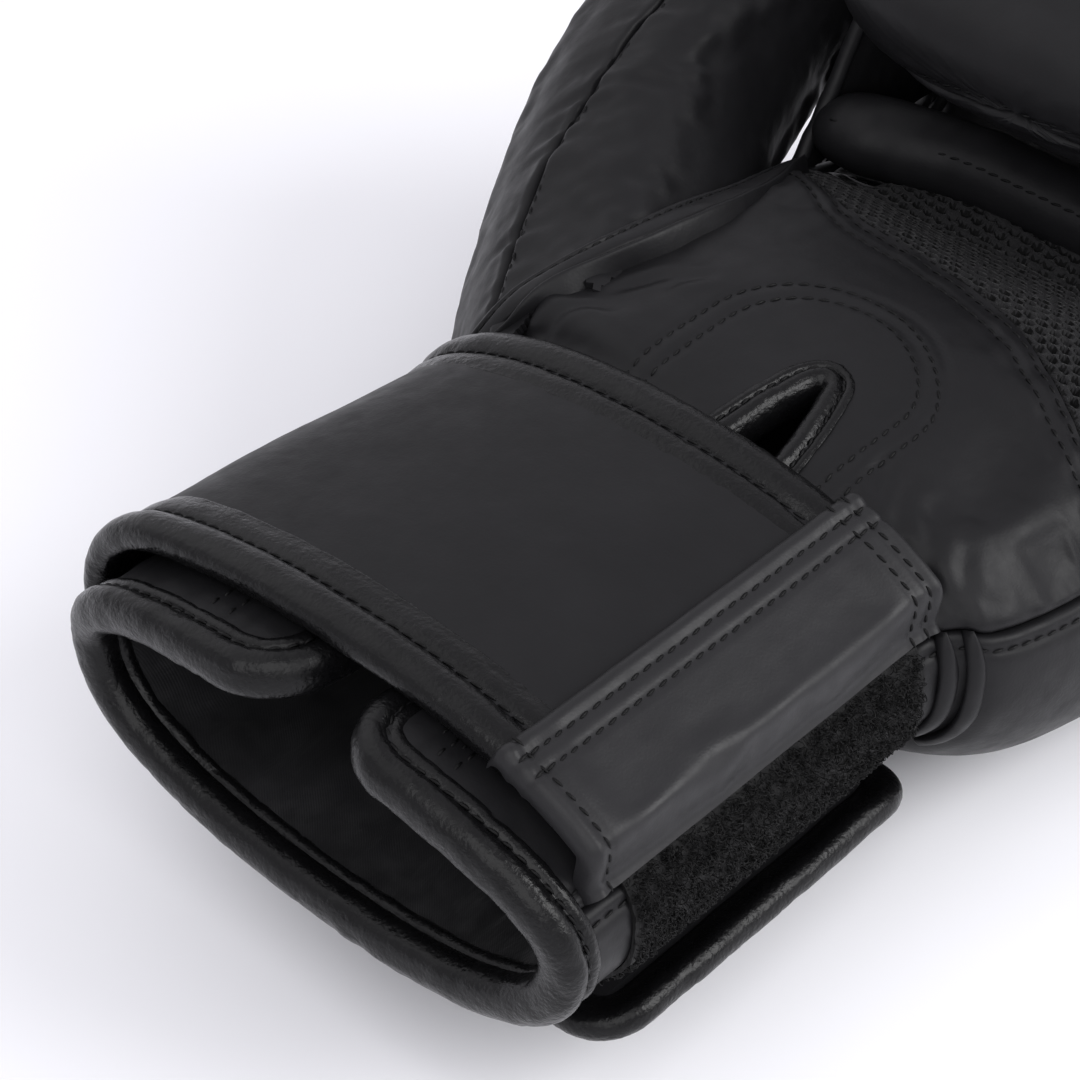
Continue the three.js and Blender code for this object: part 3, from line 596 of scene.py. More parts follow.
class Nodes:
    """A material's node tree, with short ways to add and join its nodes."""

    def __init__(self, name):
        self.material = bpy.data.materials.new(name)
        self.material.use_nodes = True
        self.tree = self.material.node_tree
        self.shader = self.tree.nodes["Principled BSDF"]
        self.place = self.tree.nodes.new("ShaderNodeTexCoord").outputs["Object"]

    def link(self, output, target):
        self.tree.links.new(output, target)

    def noise(self, millimetres, detail=3, stretch=None, roughness=0.5):
        node = self.tree.nodes.new("ShaderNodeTexNoise")
        node.inputs["Scale"].default_value = 1 / (millimetres * MM)
        node.inputs["Detail"].default_value = detail
        node.inputs["Roughness"].default_value = roughness
        self.link(self.stretched(stretch), node.inputs["Vector"])
        return node.outputs["Fac"]

    def stretched(self, stretch):
        if stretch is None:
            return self.place
        node = self.tree.nodes.new("ShaderNodeMapping")
        node.inputs["Scale"].default_value = stretch
        self.link(self.place, node.inputs["Vector"])
        return node.outputs["Vector"]

    def cells(self, millimetres, feature="F1", randomness=1.0):
        node = self.tree.nodes.new("ShaderNodeTexVoronoi")
        node.feature = feature
        node.inputs["Scale"].default_value = 1 / (millimetres * MM)
        node.inputs["Randomness"].default_value = randomness
        self.link(self.place, node.inputs["Vector"])
        return node.outputs["Distance"]

    def waves(self, millimetres, direction, distortion=0.0):
        node = self.tree.nodes.new("ShaderNodeTexWave")
        node.bands_direction = direction
        node.inputs["Scale"].default_value = 0.314 / (millimetres * MM)
        node.inputs["Distortion"].default_value = distortion
        self.link(self.place, node.inputs["Vector"])
        return node.outputs["Fac"]

    def spread(self, value, low, high, from_low=0.3, from_high=0.7):
        node = self.tree.nodes.new("ShaderNodeMapRange")
        node.inputs["From Min"].default_value = from_low
        node.inputs["From Max"].default_value = from_high
        node.inputs["To Min"].default_value = low
        node.inputs["To Max"].default_value = high
        self.link(value, node.inputs["Value"])
        return node.outputs["Result"]

    def ramp(self, value, *stops):
        node = self.tree.nodes.new("ShaderNodeValToRGB")
        elements = node.color_ramp.elements
        while len(elements) < len(stops):
            elements.new(0.5)
        for element, (position, color) in zip(elements, stops):
            element.position = position
            element.color = (*color, 1)
        self.link(value, node.inputs["Fac"])
        return node.outputs["Color"]

    def bump(self, height, strength, millimetres, before=None):
        node = self.tree.nodes.new("ShaderNodeBump")
        node.inputs["Strength"].default_value = strength
        node.inputs["Distance"].default_value = millimetres * MM
        self.link(height, node.inputs["Height"])
        if before is not None:
            self.link(before, node.inputs["Normal"])
        return node.outputs["Normal"]

    def shades(self, value, *stops):
        self.link(self.ramp(value, *stops), self.shader.inputs["Base Color"])

    def roughness(self, value, low, high):
        self.link(self.spread(value, low, high), self.shader.inputs["Roughness"])

    def relief(self, normal):
        self.link(normal, self.shader.inputs["Normal"])

    def sheen(self, weight, roughness):
        self.shader.inputs["Sheen Weight"].default_value = weight
        self.shader.inputs["Sheen Roughness"].default_value = roughness

    def specular(self, level):
        self.shader.inputs["Specular IOR Level"].default_value = level


def tint(value):
    """A near black with a faint cold cast."""
    return (value, value * 0.985, value * 1.09)


def leather_material(name, shade, roughness, grain, depth, crinkle=0.0, specular=0.5):
    """Grained leather: fine pebbles, soft mottling and, on bindings, a crinkled gloss."""
    n = Nodes(name)
    mottle = n.noise(16, 4)
    n.shades(mottle, (0.3, tint(shade * 0.86)), (0.55, tint(shade)), (0.75, tint(shade * 1.14)))
    patchy = n.noise(5.5, 5, roughness=0.65)
    n.roughness(patchy, roughness - 0.07, roughness + 0.07)
    pebbles = n.bump(n.cells(grain, "SMOOTH_F1"), depth, 0.12)
    pores = n.bump(n.noise(0.35, 2), depth * 0.5, 0.05, pebbles)
    soft = n.bump(n.noise(3.2, 3), 0.25, 0.25, pores)
    if crinkle:
        fine = n.bump(n.cells(1.5, "DISTANCE_TO_EDGE"), crinkle, 0.22, soft)
        soft = n.bump(n.noise(2.1, 4, roughness=0.7), crinkle, 0.5, fine)
    n.relief(soft)
    n.specular(specular)
    return n.material


def thread_material():
    n = Nodes("thread")
    fibre = n.noise(0.5, 2)
    n.shades(fibre, (0.3, tint(0.0015)), (0.7, tint(0.003)))
    n.roughness(fibre, 0.42, 0.62)
    n.relief(n.bump(n.noise(0.25, 2), 0.5, 0.1))
    n.specular(0.15)
    return n.material


def satin_material():
    n = Nodes("satin_lining")
    cloudy = n.noise(22, 3)
    n.shades(cloudy, (0.3, tint(0.005)), (0.7, tint(0.012)))
    n.roughness(n.noise(4, 3), 0.36, 0.52)
    twill = n.bump(n.waves(0.32, "DIAGONAL", 0.6), 0.35, 0.05)
    n.relief(n.bump(n.noise(6, 4, (2.2, 0.7, 2.2)), 0.5, 0.9, twill))
    n.sheen(0.15, 0.4)
    return n.material


def fabric_material(name, shade, roughness, yarn, sheen):
    n = Nodes(name)
    fleck = n.noise(1.1, 3)
    n.shades(fleck, (0.3, tint(shade * 0.7)), (0.7, tint(shade * 1.35)))
    n.roughness(fleck, roughness - 0.08, roughness + 0.08)
    n.specular(0.16)
    weft = n.bump(n.waves(yarn, "X", 1.0), 0.5, 0.08)
    n.relief(n.bump(n.waves(yarn, "Y", 1.0), 0.5, 0.08, weft))
    n.sheen(sheen, 0.5)
    return n.material


def floor_material():
    n = Nodes("pale_floor")
    n.shades(n.noise(220, 2), (0.3, (0.80, 0.80, 0.83)), (0.7, (0.815, 0.815, 0.842)))
    n.roughness(n.noise(60, 2), 0.62, 0.7)
    return n.material


MATTE = leather_material("matte_leather", 0.008, 0.45, 0.55, 0.16, specular=0.15)
PATCH = leather_material("patch_leather", 0.011, 0.46, 0.48, 0.18, specular=0.24)
GLOSS = leather_material("gloss_leather", 0.003, 0.27, 0.8, 0.3, 0.45, specular=0.2)
THREAD = thread_material()
SATIN = satin_material()
AIR_MESH = fabric_material("air_mesh", 0.007, 0.7, 0.5, 0.05)
# near black for the faces deep in the air mesh's holes: painted shade
MESH_HOLE_SHADE = fabric_material("mesh_hole_painted_shade", 0.0008, 0.85, 0.5, 0.0)
PILE = fabric_material("loop_pile", 0.0015, 0.6, 0.6, 0.02)
HOOKS = fabric_material("hook_tape", 0.005, 0.5, 0.8, 0.0)

# ---------------------------------------------------------------- riding on the frame

ROOT = ("hand_and_cuff",)


def strap_spot(u, height=2.5):
    return tuple(round(float(c), 5) for c in place(strap_form(height)(np.array(float(u)), np.array(57.0)))[0])


def thumb_spot(v):
    return tuple(round(float(c), 5) for c in place(along(THUMB, v)[:3])[0])


STRAP_BLENDS = {
    "palm": ("hand_and_cuff", "strap_palm_run", 60, 72),
    "side": ("strap_palm_run", "strap_side_run", 128, 142),
    "back": ("strap_side_run", "strap_back_run", 218, 232),
    "tab": ("strap_back_run", "strap_tab", 284, 298),
}
# along the thumb, how many degrees its upper seam drifts
THUMB_DRIFT = (
    (0, 27), (1.16, 24), (1.53, 20), (2.15, 14), (2.7, 9),
    (3.23, 0), (3.83, -10), (4.26, -18), (5, -24), (7, -27),
)  # fmt: skip


def seamed_thumb(depth=0.0):
    """The thumb's form with its upper seam drifting from the side at the wrist to the top at the tip."""
    form = thumb_form(depth)

    def drifted(u, v):
        near = 0.5 + 0.5 * np.cos(np.radians(u - THUMB_SEAM[0]))
        return form(u + near * np.interp(v, *np.transpose(THUMB_DRIFT)), v)

    return drifted


THUMB_RIDE = ("hand_and_cuff", "thumb", thumb_spot(0.35), thumb_spot(2.0))
STRAP_RIDES = {
    part: (near, far, strap_spot(start), strap_spot(end))
    for part, (near, far, start, end) in STRAP_BLENDS.items()
}


def attach(obj, ride, slot, *nodes, fill=None):
    """Parents a piece to its one body, or bakes its placement into the mesh where it rides two bodies, and
    hides the nodes that it stands for; its material slot is not used.
    """
    if len(ride) == 1:
        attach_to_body(obj, ride[0])
    else:
        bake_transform(obj)
    if nodes:
        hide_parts(*nodes)
    return obj


# ---------------------------------------------------------------- the slit and the lines round it

# the U-shaped stitching: the middle of its bend, the radii of its two rows and how much its legs lean
U_MIDDLE, U_RADII, U_LEAN = (6.0, 125.0), (21.3, 25.7), 0.04
# half the slit's width at some distances from the wrist
SLIT_HALVES = ((20, 8.0), (60, 7.6), (96, 7.2), (104, 6.3), (112, 5.1), (118, 3.8), (124, 2.0))


def slit_middle(y):
    return 2.6 + 0.08 * np.minimum(y, 104) - 0.05 * np.maximum(y - 108, 0)


def slit_half(y):
    return np.interp(y, *np.transpose(SLIT_HALVES))


def in_slit(points, margin):
    """Which points of the palm side lie inside the slit's binding line, or within a margin outside it."""
    x, y, z = np.moveaxis(points, -1, 0)
    aside = np.abs(x - slit_middle(y))
    half = slit_half(y)
    run = (aside < half + margin) & (y < SLIT_END_Y)
    end = np.hypot(x - slit_middle(SLIT_END_Y), y - SLIT_END_Y) < slit_half(SLIT_END_Y) + margin
    turn_y = SLIT_CORNER - RIM_LEAD
    corner = np.hypot(aside - half - SLIT_CORNER, y - turn_y) > SLIT_CORNER - margin
    mouth = (aside < half + SLIT_CORNER) & (y < turn_y) & corner
    return (run | end | mouth) & (z > 50)


def slit_opening(points):
    return in_slit(points, 1.2)


def u_grooves(points):
    """How deep the U-shaped rows of stitches sink into the leather, from 0 to 1."""
    r = u_distance(points)
    return sum(np.exp(-(((r - radius) / 0.8) ** 2)) for radius in U_RADII)


def u_distance(points):
    """Distance from the middle line of the U-shaped stitching."""
    x, y = points[..., 0], points[..., 1]
    middle = U_MIDDLE[0] - U_LEAN * (U_MIDDLE[1] - np.minimum(y, U_MIDDLE[1]))
    return np.where(y > U_MIDDLE[1], np.hypot(x - U_MIDDLE[0], y - U_MIDDLE[1]), np.abs(x - middle))


def u_line(radius, low_y, side=None):
    """The stitched U as a path over the palm, or its left (-1) or right (1) leg alone."""
    found = []
    if side != -1:
        ys = np.arange(low_y, U_MIDDLE[1], 1.5)
        found += [(U_MIDDLE[0] - U_LEAN * (U_MIDDLE[1] - y) + radius, y) for y in ys]
    if side is None:
        turns = np.radians(np.arange(0, 180.1, 3))
        found += [(U_MIDDLE[0] + radius * math.cos(a), U_MIDDLE[1] + radius * math.sin(a)) for a in turns]
    if side != 1:
        ys = np.arange(U_MIDDLE[1], low_y, -1.5)
        found += [(U_MIDDLE[0] - U_LEAN * (U_MIDDLE[1] - y) - radius, y) for y in ys]
    return np.array([palm_point(x, y, 0.0) for x, y in found])


def tree_of(flat):
    """A tree that finds the nearest of some points."""
    tree = KDTree(len(flat))
    for i, p in enumerate(flat):
        tree.insert(p, i)
    tree.balance()
    return tree


def settle(path, points, normals):
    """A path moved along the surface's normals onto a finished grid, with the normals there."""
    flat, flat_normals = points.reshape(-1, 3), normals.reshape(-1, 3)
    tree = tree_of(flat)
    out, ups = [], []
    for p in path:
        near = tree.find_n(p, 4)
        weights = np.array([1 / (d + 0.05) for _, _, d in near])
        ids = [i for _, i, _ in near]
        up = unit(np.average(flat_normals[ids], axis=0, weights=weights))
        height = np.average((flat[ids] - p) @ up, weights=weights)
        out.append(p + up * height)
        ups.append(up)
    return np.array(out), np.array(ups)


# ---------------------------------------------------------------- thumb against the body


class Surface:
    """Signed distances from a form's surface, from its nearest grid point."""

    def __init__(self, form, us, vs):
        points, normals = patch(form, us, vs)
        self.points, self.normals = points.reshape(-1, 3), normals.reshape(-1, 3)
        self.tree = tree_of(self.points)

    def height(self, points):
        flat = np.asarray(points).reshape(-1, 3)
        nearest = np.array([self.tree.find(p)[1] for p in flat])
        apart = np.sum((flat - self.points[nearest]) * self.normals[nearest], -1)
        return apart.reshape(np.shape(points)[:-1])


BODY_SURFACE = Surface(body_form(), np.arange(0, 360, 2.0), np.arange(2.5, 13, 0.06))


def in_body(points):
    """Which of the thumb's points lie well under the hand's surface, or in the root under the palm."""
    root = (points[..., 0] > -47.5) & (points[..., 1] < 116) & (points[..., 2] > 60)
    return root | (BODY_SURFACE.height(points) < -1.8)


# ---------------------------------------------------------------- leather panels

ROWS_OF = {}


def leather_panel(
    name,
    form,
    us,
    vs,
    ride,
    nodes,
    edges,
    thickness=1.6,
    billowing=None,
    calm=None,
    relief=None,
    hole=None,
    weld=False,
):
    """A sewn panel. edges gives for each sewn edge its roll under, its rows of stitches and its gathers."""
    points, normals = patch(form, us, vs)
    base = points
    if billowing:
        pressure, slack, cap = billowing
        moved = billow(points, normals, pressure, slack, cap)
        amount = np.sum((moved - points) * normals, -1)
        if calm is not None:
            amount = amount * calm(points)
        points = points + normals * amount[..., None]
    distances = edge_distances(base)
    height = 0.12 * rumple(base, 11, 3) + 0.035 * rumple(base, 2.6, 5)
    for edge, (roll, rows, gather) in edges.items():
        d = distances[edge]
        height = height - rolled(d, roll)
        for at in rows:
            height = height - 0.42 * np.exp(-(((d - at) / 0.85) ** 2))
            height = height + 0.16 * np.exp(-(((d - at - 2.6) / 1.6) ** 2))
        if gather:
            other = distances["low" if edge in ("left", "right") else "left"]
            folds = noise(np.stack([other / 3.1, d / 26, 0 * d], -1), 1, 11)
            height = height + gather * folds * np.exp(-d / 9) * smooth(0, 1.5, d)
    if relief is not None:
        height = height + relief(base)
    points = points + normals * height[..., None]
    keep = None if hole is None else ~hole(base).ravel()
    obj = slab(name, points, points - normals * thickness, MATTE, keep)
    if weld:
        weld_mesh(obj)
    attach(obj, ride, "matte_leather", *nodes, fill=0.8)
    rows = []
    for edge, (_, ats, _) in edges.items():
        for at in ats:
            line = edge_line(points, distances, edge, at)
            if len(line) > 3:
                on, ups = settle(line, points, normals)
                rows.append((on, ups))
    if hole is not None:
        rows = [part for row in rows for part in outside(row, hole)]
    ROWS_OF.setdefault(ride, []).extend(rows)
    return points, normals


def outside(row, hole):
    """The stretches of a row of stitches that keep clear of a hole."""
    path, ups = row
    clear = ~hole(path)
    parts, start = [], None
    for i, good in enumerate(list(clear) + [False]):
        if good and start is None:
            start = i
        elif not good and start is not None:
            if i - start > 4:
                parts.append((path[start:i], ups[start:i]))
            start = None
    return parts


def weld_mesh(obj):
    work = bmesh.new()
    work.from_mesh(obj.data)
    bmesh.ops.remove_doubles(work, verts=work.verts, dist=0.00002)
    bmesh.ops.dissolve_degenerate(work, edges=work.edges, dist=0.00001)
    work.to_mesh(obj.data)
    work.free()
    obj.data.shade_smooth()
    obj.data.set_sharp_from_angle(angle=math.radians(50))


FLAP_LINES = {"cuff_thumb_flap": (-28.6, -24.4), "cuff_little_flap": (25.6, 29.4)}


def build_cuff():
    vs = lines(0.0, CUFF_END, 0.07, 0.05, 0.3)

    def seams(p):
        on_palm = p[..., 2] > 60
        return -0.4 * u_grooves(p) * on_palm + 0.25 * rumple(p, (9, 30, 9), 21)

    panels = {
        "cuff_back": (SEAM_CUFF, 360 + SEAM_LITTLE, {"left": (2.0, [3.4], 0.3), "right": (2.0, [3.4], 0.3)}),
        "cuff_thumb_flap": (88, SEAM_CUFF, {"right": (2.0, [3.4], 0.3)}),
        "cuff_little_flap": (SEAM_LITTLE, 88, {"left": (2.0, [3.4], 0.3)}),
    }
    for name, (first, last, edges) in panels.items():
        points, normals = leather_panel(
            f"{name}_leather",
            body_form(),
            lines(first, last, 1.1, 0.8, 8),
            vs,
            ROOT,
            [f"{name}_cover", f"{name}_foam"],
            edges,
            thickness=5.2,
            relief=seams,
            hole=slit_opening,
        )
        for x in FLAP_LINES.get(name, ()):
            line = np.array([palm_point(x, y, 0.0) for y in np.arange(5, 15, 0.8)])
            ROWS_OF[ROOT].append(settle(line, points, normals))
        if name != "cuff_back":
            side = -1 if name == "cuff_thumb_flap" else 1
            for radius in U_RADII:
                line = u_line(radius, 9.5, side)
                line = line[line[:, 1] < 98]
                ROWS_OF[ROOT].append(settle(line, points, normals))


def edge_path():
    """The rim and slit binding's middle line with its outward normals, once round."""
    depth = 3.5
    points, ups = [], []

    def on_palm(x, y):
        at = lambda dx, dy: palm_point(slit_middle(y) + x + dx, max(y, 6.0) + dy, depth)
        p = at(0, 0)
        up = unit(np.cross(at(0.5, 0) - at(-0.5, 0), at(0, 0.5) - at(0, -0.5)))
        points.append(np.array([p[0], y, p[2]]))
        ups.append(up)

    end_half = float(slit_half(SLIT_END_Y))
    for a in np.radians(np.arange(0, 180.1, 10)):
        y = SLIT_END_Y + end_half * math.sin(a)
        on_palm(end_half * math.cos(a) + float(slit_middle(SLIT_END_Y) - slit_middle(y)), y)
    for y in np.arange(SLIT_END_Y - 2, SLIT_CORNER - RIM_LEAD, -2):
        on_palm(-float(slit_half(y)), y)
    corner_x = SLIT_HALF + SLIT_CORNER
    for a in np.radians(np.arange(0, -85, -10)):
        on_palm(-corner_x + SLIT_CORNER * math.cos(a), SLIT_CORNER - RIM_LEAD + SLIT_CORNER * math.sin(a))
    first = float(turn_at_x(slit_middle(0) - corner_x, 0, depth))
    last = float(turn_at_x(slit_middle(0) + corner_x, 0, depth)) + 360
    for u in np.linspace(first, last, 180):
        p = body_at(u, 0.0, depth)
        across = body_at(u + 0.5, 0.0, depth) - body_at(u - 0.5, 0.0, depth)
        points.append(np.array([p[0], -RIM_LEAD * max(0.0, math.sin(math.radians(u))), p[2]]))
        ups.append(unit(np.cross([0, 1.0, 0], across)))
    for a in np.radians(np.arange(-100, -180.1, -10)):
        on_palm(corner_x + SLIT_CORNER * math.cos(a), SLIT_CORNER - RIM_LEAD + SLIT_CORNER * math.sin(a))
    for y in np.arange(SLIT_CORNER - RIM_LEAD + 2, SLIT_END_Y - 1, 2):
        on_palm(float(slit_half(y)), y)
    return np.array(points), np.array(ups)


EDGE_PROFILE = smooth_profile(
    [
        (5.8, 3.4), (5.3, 3.95), (4.5, 4.15), (3.7, 3.95), (3.1, 3.5), (2.5, 3.95), (1.6, 4.5), (0.2, 4.6),
        (-1.4, 3.9), (-2.6, 2.2), (-3.0, 0.0), (-2.6, -2.3), (-1.3, -3.8), (0.5, -4.4), (2.1, -4.2),
        (2.8, -3.7), (3.1, -3.4), (3.6, -3.8), (4.5, -4.1), (5.3, -3.9), (5.8, -3.2), (5.4, 0.0),
    ]
)  # fmt: skip
EDGE_GROOVE = (3.1, 3.65)


def even(path, ups, step, closed):
    """A path and its normals at an even step."""
    spots, _ = resample(path, step, closed)
    both = np.concatenate([path, path[:1]]) if closed else path
    both_ups = np.concatenate([ups, ups[:1]]) if closed else ups
    run = run_along(both)
    at = np.linspace(0, run[-1], len(spots), endpoint=not closed)
    return spots, unit(np.stack([np.interp(at, run, both_ups[:, c]) for c in range(3)], -1))


def smooth_loop(values, times=3, closed=True):
    for _ in range(times):
        if closed:
            values = (np.roll(values, 1, 0) + 2 * values + np.roll(values, -1, 0)) / 4
        else:
            inner = (values[:-2] + 2 * values[1:-1] + values[2:]) / 4
            values = np.concatenate([values[:1], inner, values[-1:]])
    return values


def binding(name, path, ups, profile, groove, ride, nodes, closed, side=1, puckers=0.3, width=1.0):
    """A rolled binding along an edge, with its row of stitches in the groove."""
    ahead = tangents(path, closed)
    ups = unit(ups - ahead * np.sum(ups * ahead, -1, keepdims=True))
    inward = side * np.cross(ahead, ups) * width
    rings = carried(path, inward, ups, profile)
    wrinkle = puckers * (0.55 * rumple(rings, (4.5, 4.5, 4.5), 31, 3) - 0.5 * creases(rings, 5.5, 43))
    obj = sweep(name, path, ups, inward, profile, GLOSS, closed, wrinkle)
    attach(obj, ride, "gloss_leather", *nodes)
    row = path + inward * groove[0] + ups * groove[1]
    if closed:
        row = np.concatenate([row, row[:1]])
        ups = np.concatenate([ups, ups[:1]])
    ROWS_OF.setdefault(ride, []).append((row, ups))


def build_edge_binding():
    path, ups = edge_path()
    path, ups = even(path, ups, 1.1, True)
    path, ups = smooth_loop(path, 6), unit(smooth_loop(ups, 10))
    width = 1 - 0.22 * smooth(12, 50, path[:, 1:2])
    name = "wrist_and_slit_binding"
    binding(name, path, ups, EDGE_PROFILE, EDGE_GROOVE, ROOT, ["edge_binding"], True, width=width)


def build_lining():
    us = np.arange(0, 360, 2.0)
    vs = lines(0.05, 15.98, 0.085)
    points, normals = patch(wall_form(0.7), us, vs)
    flow = np.stack([points[..., 0] + points[..., 2] * 0.8, points[..., 1] * 0.16, points[..., 2]], -1)
    depth = smooth(0, 22, points[..., 1])
    folds = rumple(flow, (9, 9, 14), 71, 3) - 1.6 * creases(flow, 10, 75)
    inner = points - normals * (0.9 + depth * (0.9 + 1.1 * folds))[..., None]
    obj = slab("satin_lining", points, inner, SATIN, ~in_slit(points, 1.5).ravel(), ring=True)
    attach(obj, ROOT, "satin_lining", "cuff_lining", "hand_lining")


# folds in the palm leather: from x and y, to x and y, depth and width
PALM_FOLDS = [
    (-31, 131, -37, 119, 0.9, 1.7),
    (-26, 134, -30, 124, 0.7, 1.5),
    (-37, 112, -42, 104, 0.7, 1.6),
    (38, 112, 47, 104, 0.55, 1.8),
    (44, 113, 55, 101, 0.6, 2.1),
    (52, 112, 62, 104, 0.45, 1.9),
    (30, 118, 37, 108, 0.45, 1.6),
]


def fold(points, x0, y0, x1, y1, depth, width):
    """A soft valley that fades out at both ends, with a low swell along each side."""
    ahead = np.array([x1 - x0, y1 - y0], float)
    length = np.hypot(*ahead)
    ahead /= length
    dx, dy = points[..., 0] - x0, points[..., 1] - y0
    run = (dx * ahead[0] + dy * ahead[1]) / length
    aside = dx * -ahead[1] + dy * ahead[0] + 1.2 * np.sin(run * 2.4)
    fade = np.exp(-(((run - 0.5) / 0.55) ** 4))
    valley = np.exp(-((aside / width) ** 2))
    swell = np.exp(-(((np.abs(aside) - 2 * width) / width) ** 2))
    return depth * fade * (valley - 0.35 * swell)


def build_palm():
    def calm(p):
        r = u_distance(p)
        return smooth(U_RADII[1], U_RADII[1] + 16, r) * smooth(98, 112, p[..., 1])

    def relief(p):
        outer = smooth(U_RADII[1] + 1, U_RADII[1] + 9, u_distance(p))
        return -0.42 * u_grooves(p) + 0.5 * outer - sum(fold(p, *spots) for spots in PALM_FOLDS)

    edges = {"left": (2.2, [], 0.35), "right": (1.5, [], 0.5), "high": (2.0, [2.6, 6.6], 0.15)}
    points, normals = leather_panel(
        "palm_leather",
        body_form(),
        lines(SEAM_LITTLE, SEAM_THUMB, 0.9),
        lines(CUFF_END, MESH_START, 0.042),
        ROOT,
        ["palm_cover", "palm_foam", "palm_reinforcement"],
        edges,
        thickness=3.0,
        billowing=(3.0, 0.012, 4.0),
        calm=calm,
        relief=relief,
        hole=slit_opening,
    )
    for radius in U_RADII:
        ROWS_OF[ROOT].append(settle(u_line(radius, 99.0), points, normals))


def build_air_mesh():
    """Open mesh: staggered holes in a soft knit, with painted shade on the holes' bottoms."""
    pitch = (3.3, 2.5)
    us, vs = lines(SEAM_LITTLE, SEAM_THUMB, 0.5), lines(MESH_START, MESH_END, 0.02)
    points, normals = patch(body_form(0.5), us, vs)
    x, y = points[..., 0], points[..., 1] + 0.12 * points[..., 0]
    best = np.full(x.shape, 9.0)
    for shift in (0, 0.5):
        dx = (x / pitch[0] + shift) % 1 - 0.5
        dy = (y / (2 * pitch[1]) + shift) % 1 - 0.5
        best = np.minimum(best, np.hypot(dx * pitch[0] / 1.35, dy * 2 * pitch[1]))
    holes = 1 - smooth(0.5, 1.1, best)
    distances = edge_distances(points)
    edge = np.minimum(np.minimum(distances["low"], distances["high"]), 8)
    rise = 4.5 * (1 - smooth(0, 13, distances["high"])) * smooth(-44, -34, x)
    height = rise - 1.9 * holes * smooth(0.5, 2.5, edge) + 0.12 * rumple(points, 1.2, 81) - rolled(edge, 1.8)
    top = points + normals * height[..., None]
    obj = slab("palm_air_mesh", top, top - normals * 1.6, AIR_MESH)
    attach(obj, ROOT, "air_mesh", "palm_mesh_panel")
    # faces deep in the holes take the near-black second material: painted shade in the recesses
    obj.data.materials.append(MESH_HOLE_SHADE)
    deep = tree_of(place(top))
    flat = holes.ravel()
    for face in obj.data.polygons:
        _, i, apart = deep.find(face.center)
        if flat[i] > 0.35 and apart < 0.0009:
            face.material_index = 1


def build_hand():
    rolled_only = (2.2, [], 0.2)
    sewn = (2.2, [3.6], 0.25)
    leather_panel(
        "finger_inner_leather",
        body_form(),
        lines(SEAM_LITTLE, SEAM_THUMB, 1.6, 0.9, 8),
        lines(MESH_END, POLE - 0.005, 0.07),
        ROOT,
        ["finger_inner_cover", "finger_inner_foam", "finger_tip_inner_foam"],
        {"left": rolled_only, "right": rolled_only, "low": (2.0, [2.6, 6.6], 0.1)},
        billowing=(2.0, 0.008, 2.5),
        weld=True,
    )
    leather_panel(
        "hand_back_leather",
        body_form(),
        lines(SEAM_THUMB, 360 + SEAM_LITTLE, 1.7, 0.9, 8),
        lines(CUFF_END, KNUCKLES, 0.075, 0.05, 0.4),
        ROOT,
        ["hand_back_cover", "hand_back_foam", "hand_back_soft_foam"],
        {"left": sewn, "right": sewn, "high": (2.0, [3.6], 0.15)},
    )
    leather_panel(
        "knuckle_leather",
        body_form(),
        lines(SEAM_THUMB, 360 + SEAM_LITTLE, 1.7, 0.9, 8),
        lines(KNUCKLES, POLE - 0.005, 0.07, 0.05, 0.4),
        ROOT,
        ["knuckle_cover", "knuckle_foam", "knuckle_gel_pad", "fingertip_foam"],
        {"left": sewn, "right": sewn, "low": (2.0, [3.6], 0.15)},
        weld=True,
    )


def build_side_fold():
    """The doubled edge of leather where the hand meets the cuff, beside the strap's end."""
    us = np.linspace(-38, 21, 60)
    for k, (y, high) in enumerate(((100.2, 0.3), (104.6, -0.4))):
        path = body_at(us, section_at_y(y), -high)
        base = body_at(us, section_at_y(y), 3.0)
        ups = unit(path - base)
        ahead = tangents(path)
        inward = np.cross(ahead, ups)
        share = np.sin(np.linspace(0, math.pi, 60))[:, None] ** 0.4
        profile = smooth_profile([(-2.6, -0.8), (-2.0, 0.7), (0, 1.5), (2.0, 0.7), (2.6, -0.8), (0, -1.5)])
        rings = carried(path, inward, ups, profile)
        wrinkle = 0.12 * rumple(rings, 5, 97)
        obj = sweep(f"side_fold_{k + 1}", path, ups, inward * share, profile, MATTE, False, wrinkle)
        attach(obj, ROOT, "matte_leather")


def build_grip_bar():
    x, y, z = GRIP_BAR["middle"]
    xs = np.linspace(-GRIP_BAR["half"], GRIP_BAR["half"], 120)
    share = np.abs(xs) / GRIP_BAR["half"]
    sag = -0.8 * (1 - share**2)
    sewn = smooth(-14, -58, xs)
    path = np.stack([x + xs, y - 6 * sewn, z + sag - 1.5 * sewn], -1)
    turns = np.radians(np.arange(0, 360, 9))
    swell = np.sqrt(np.clip(1 - share**10, 0.02, 1))[:, None]
    circle = np.stack([np.cos(turns), np.sin(turns)], -1)
    ups = np.tile([0.0, 0, 1], (len(xs), 1))
    inward = np.tile([0.0, 1, 0], (len(xs), 1)) * (1 + 0.35 * sewn)[:, None]
    radius = GRIP_BAR["radius"] - 0.3
    rings = path[:, None] + circle[None, :, :1] * inward[:, None] * radius
    wrinkle = (swell - 1) * radius + 0.16 * rumple(rings, (5, 12, 12), 91)
    obj = sweep("grip_bar_leather", path, ups, inward, circle * radius, MATTE, False, wrinkle)
    attach(obj, ROOT, "matte_leather", "grip_bar_cover", "grip_bar_core", fill=0.9)
    for side in (-1, 1):
        lean = math.radians(35)
        up = np.array([0.0, side * math.cos(lean), math.sin(lean)])
        ROWS_OF[ROOT].append((path[8:-8] + up * (radius + 0.1), np.tile(up, (len(xs) - 16, 1))))


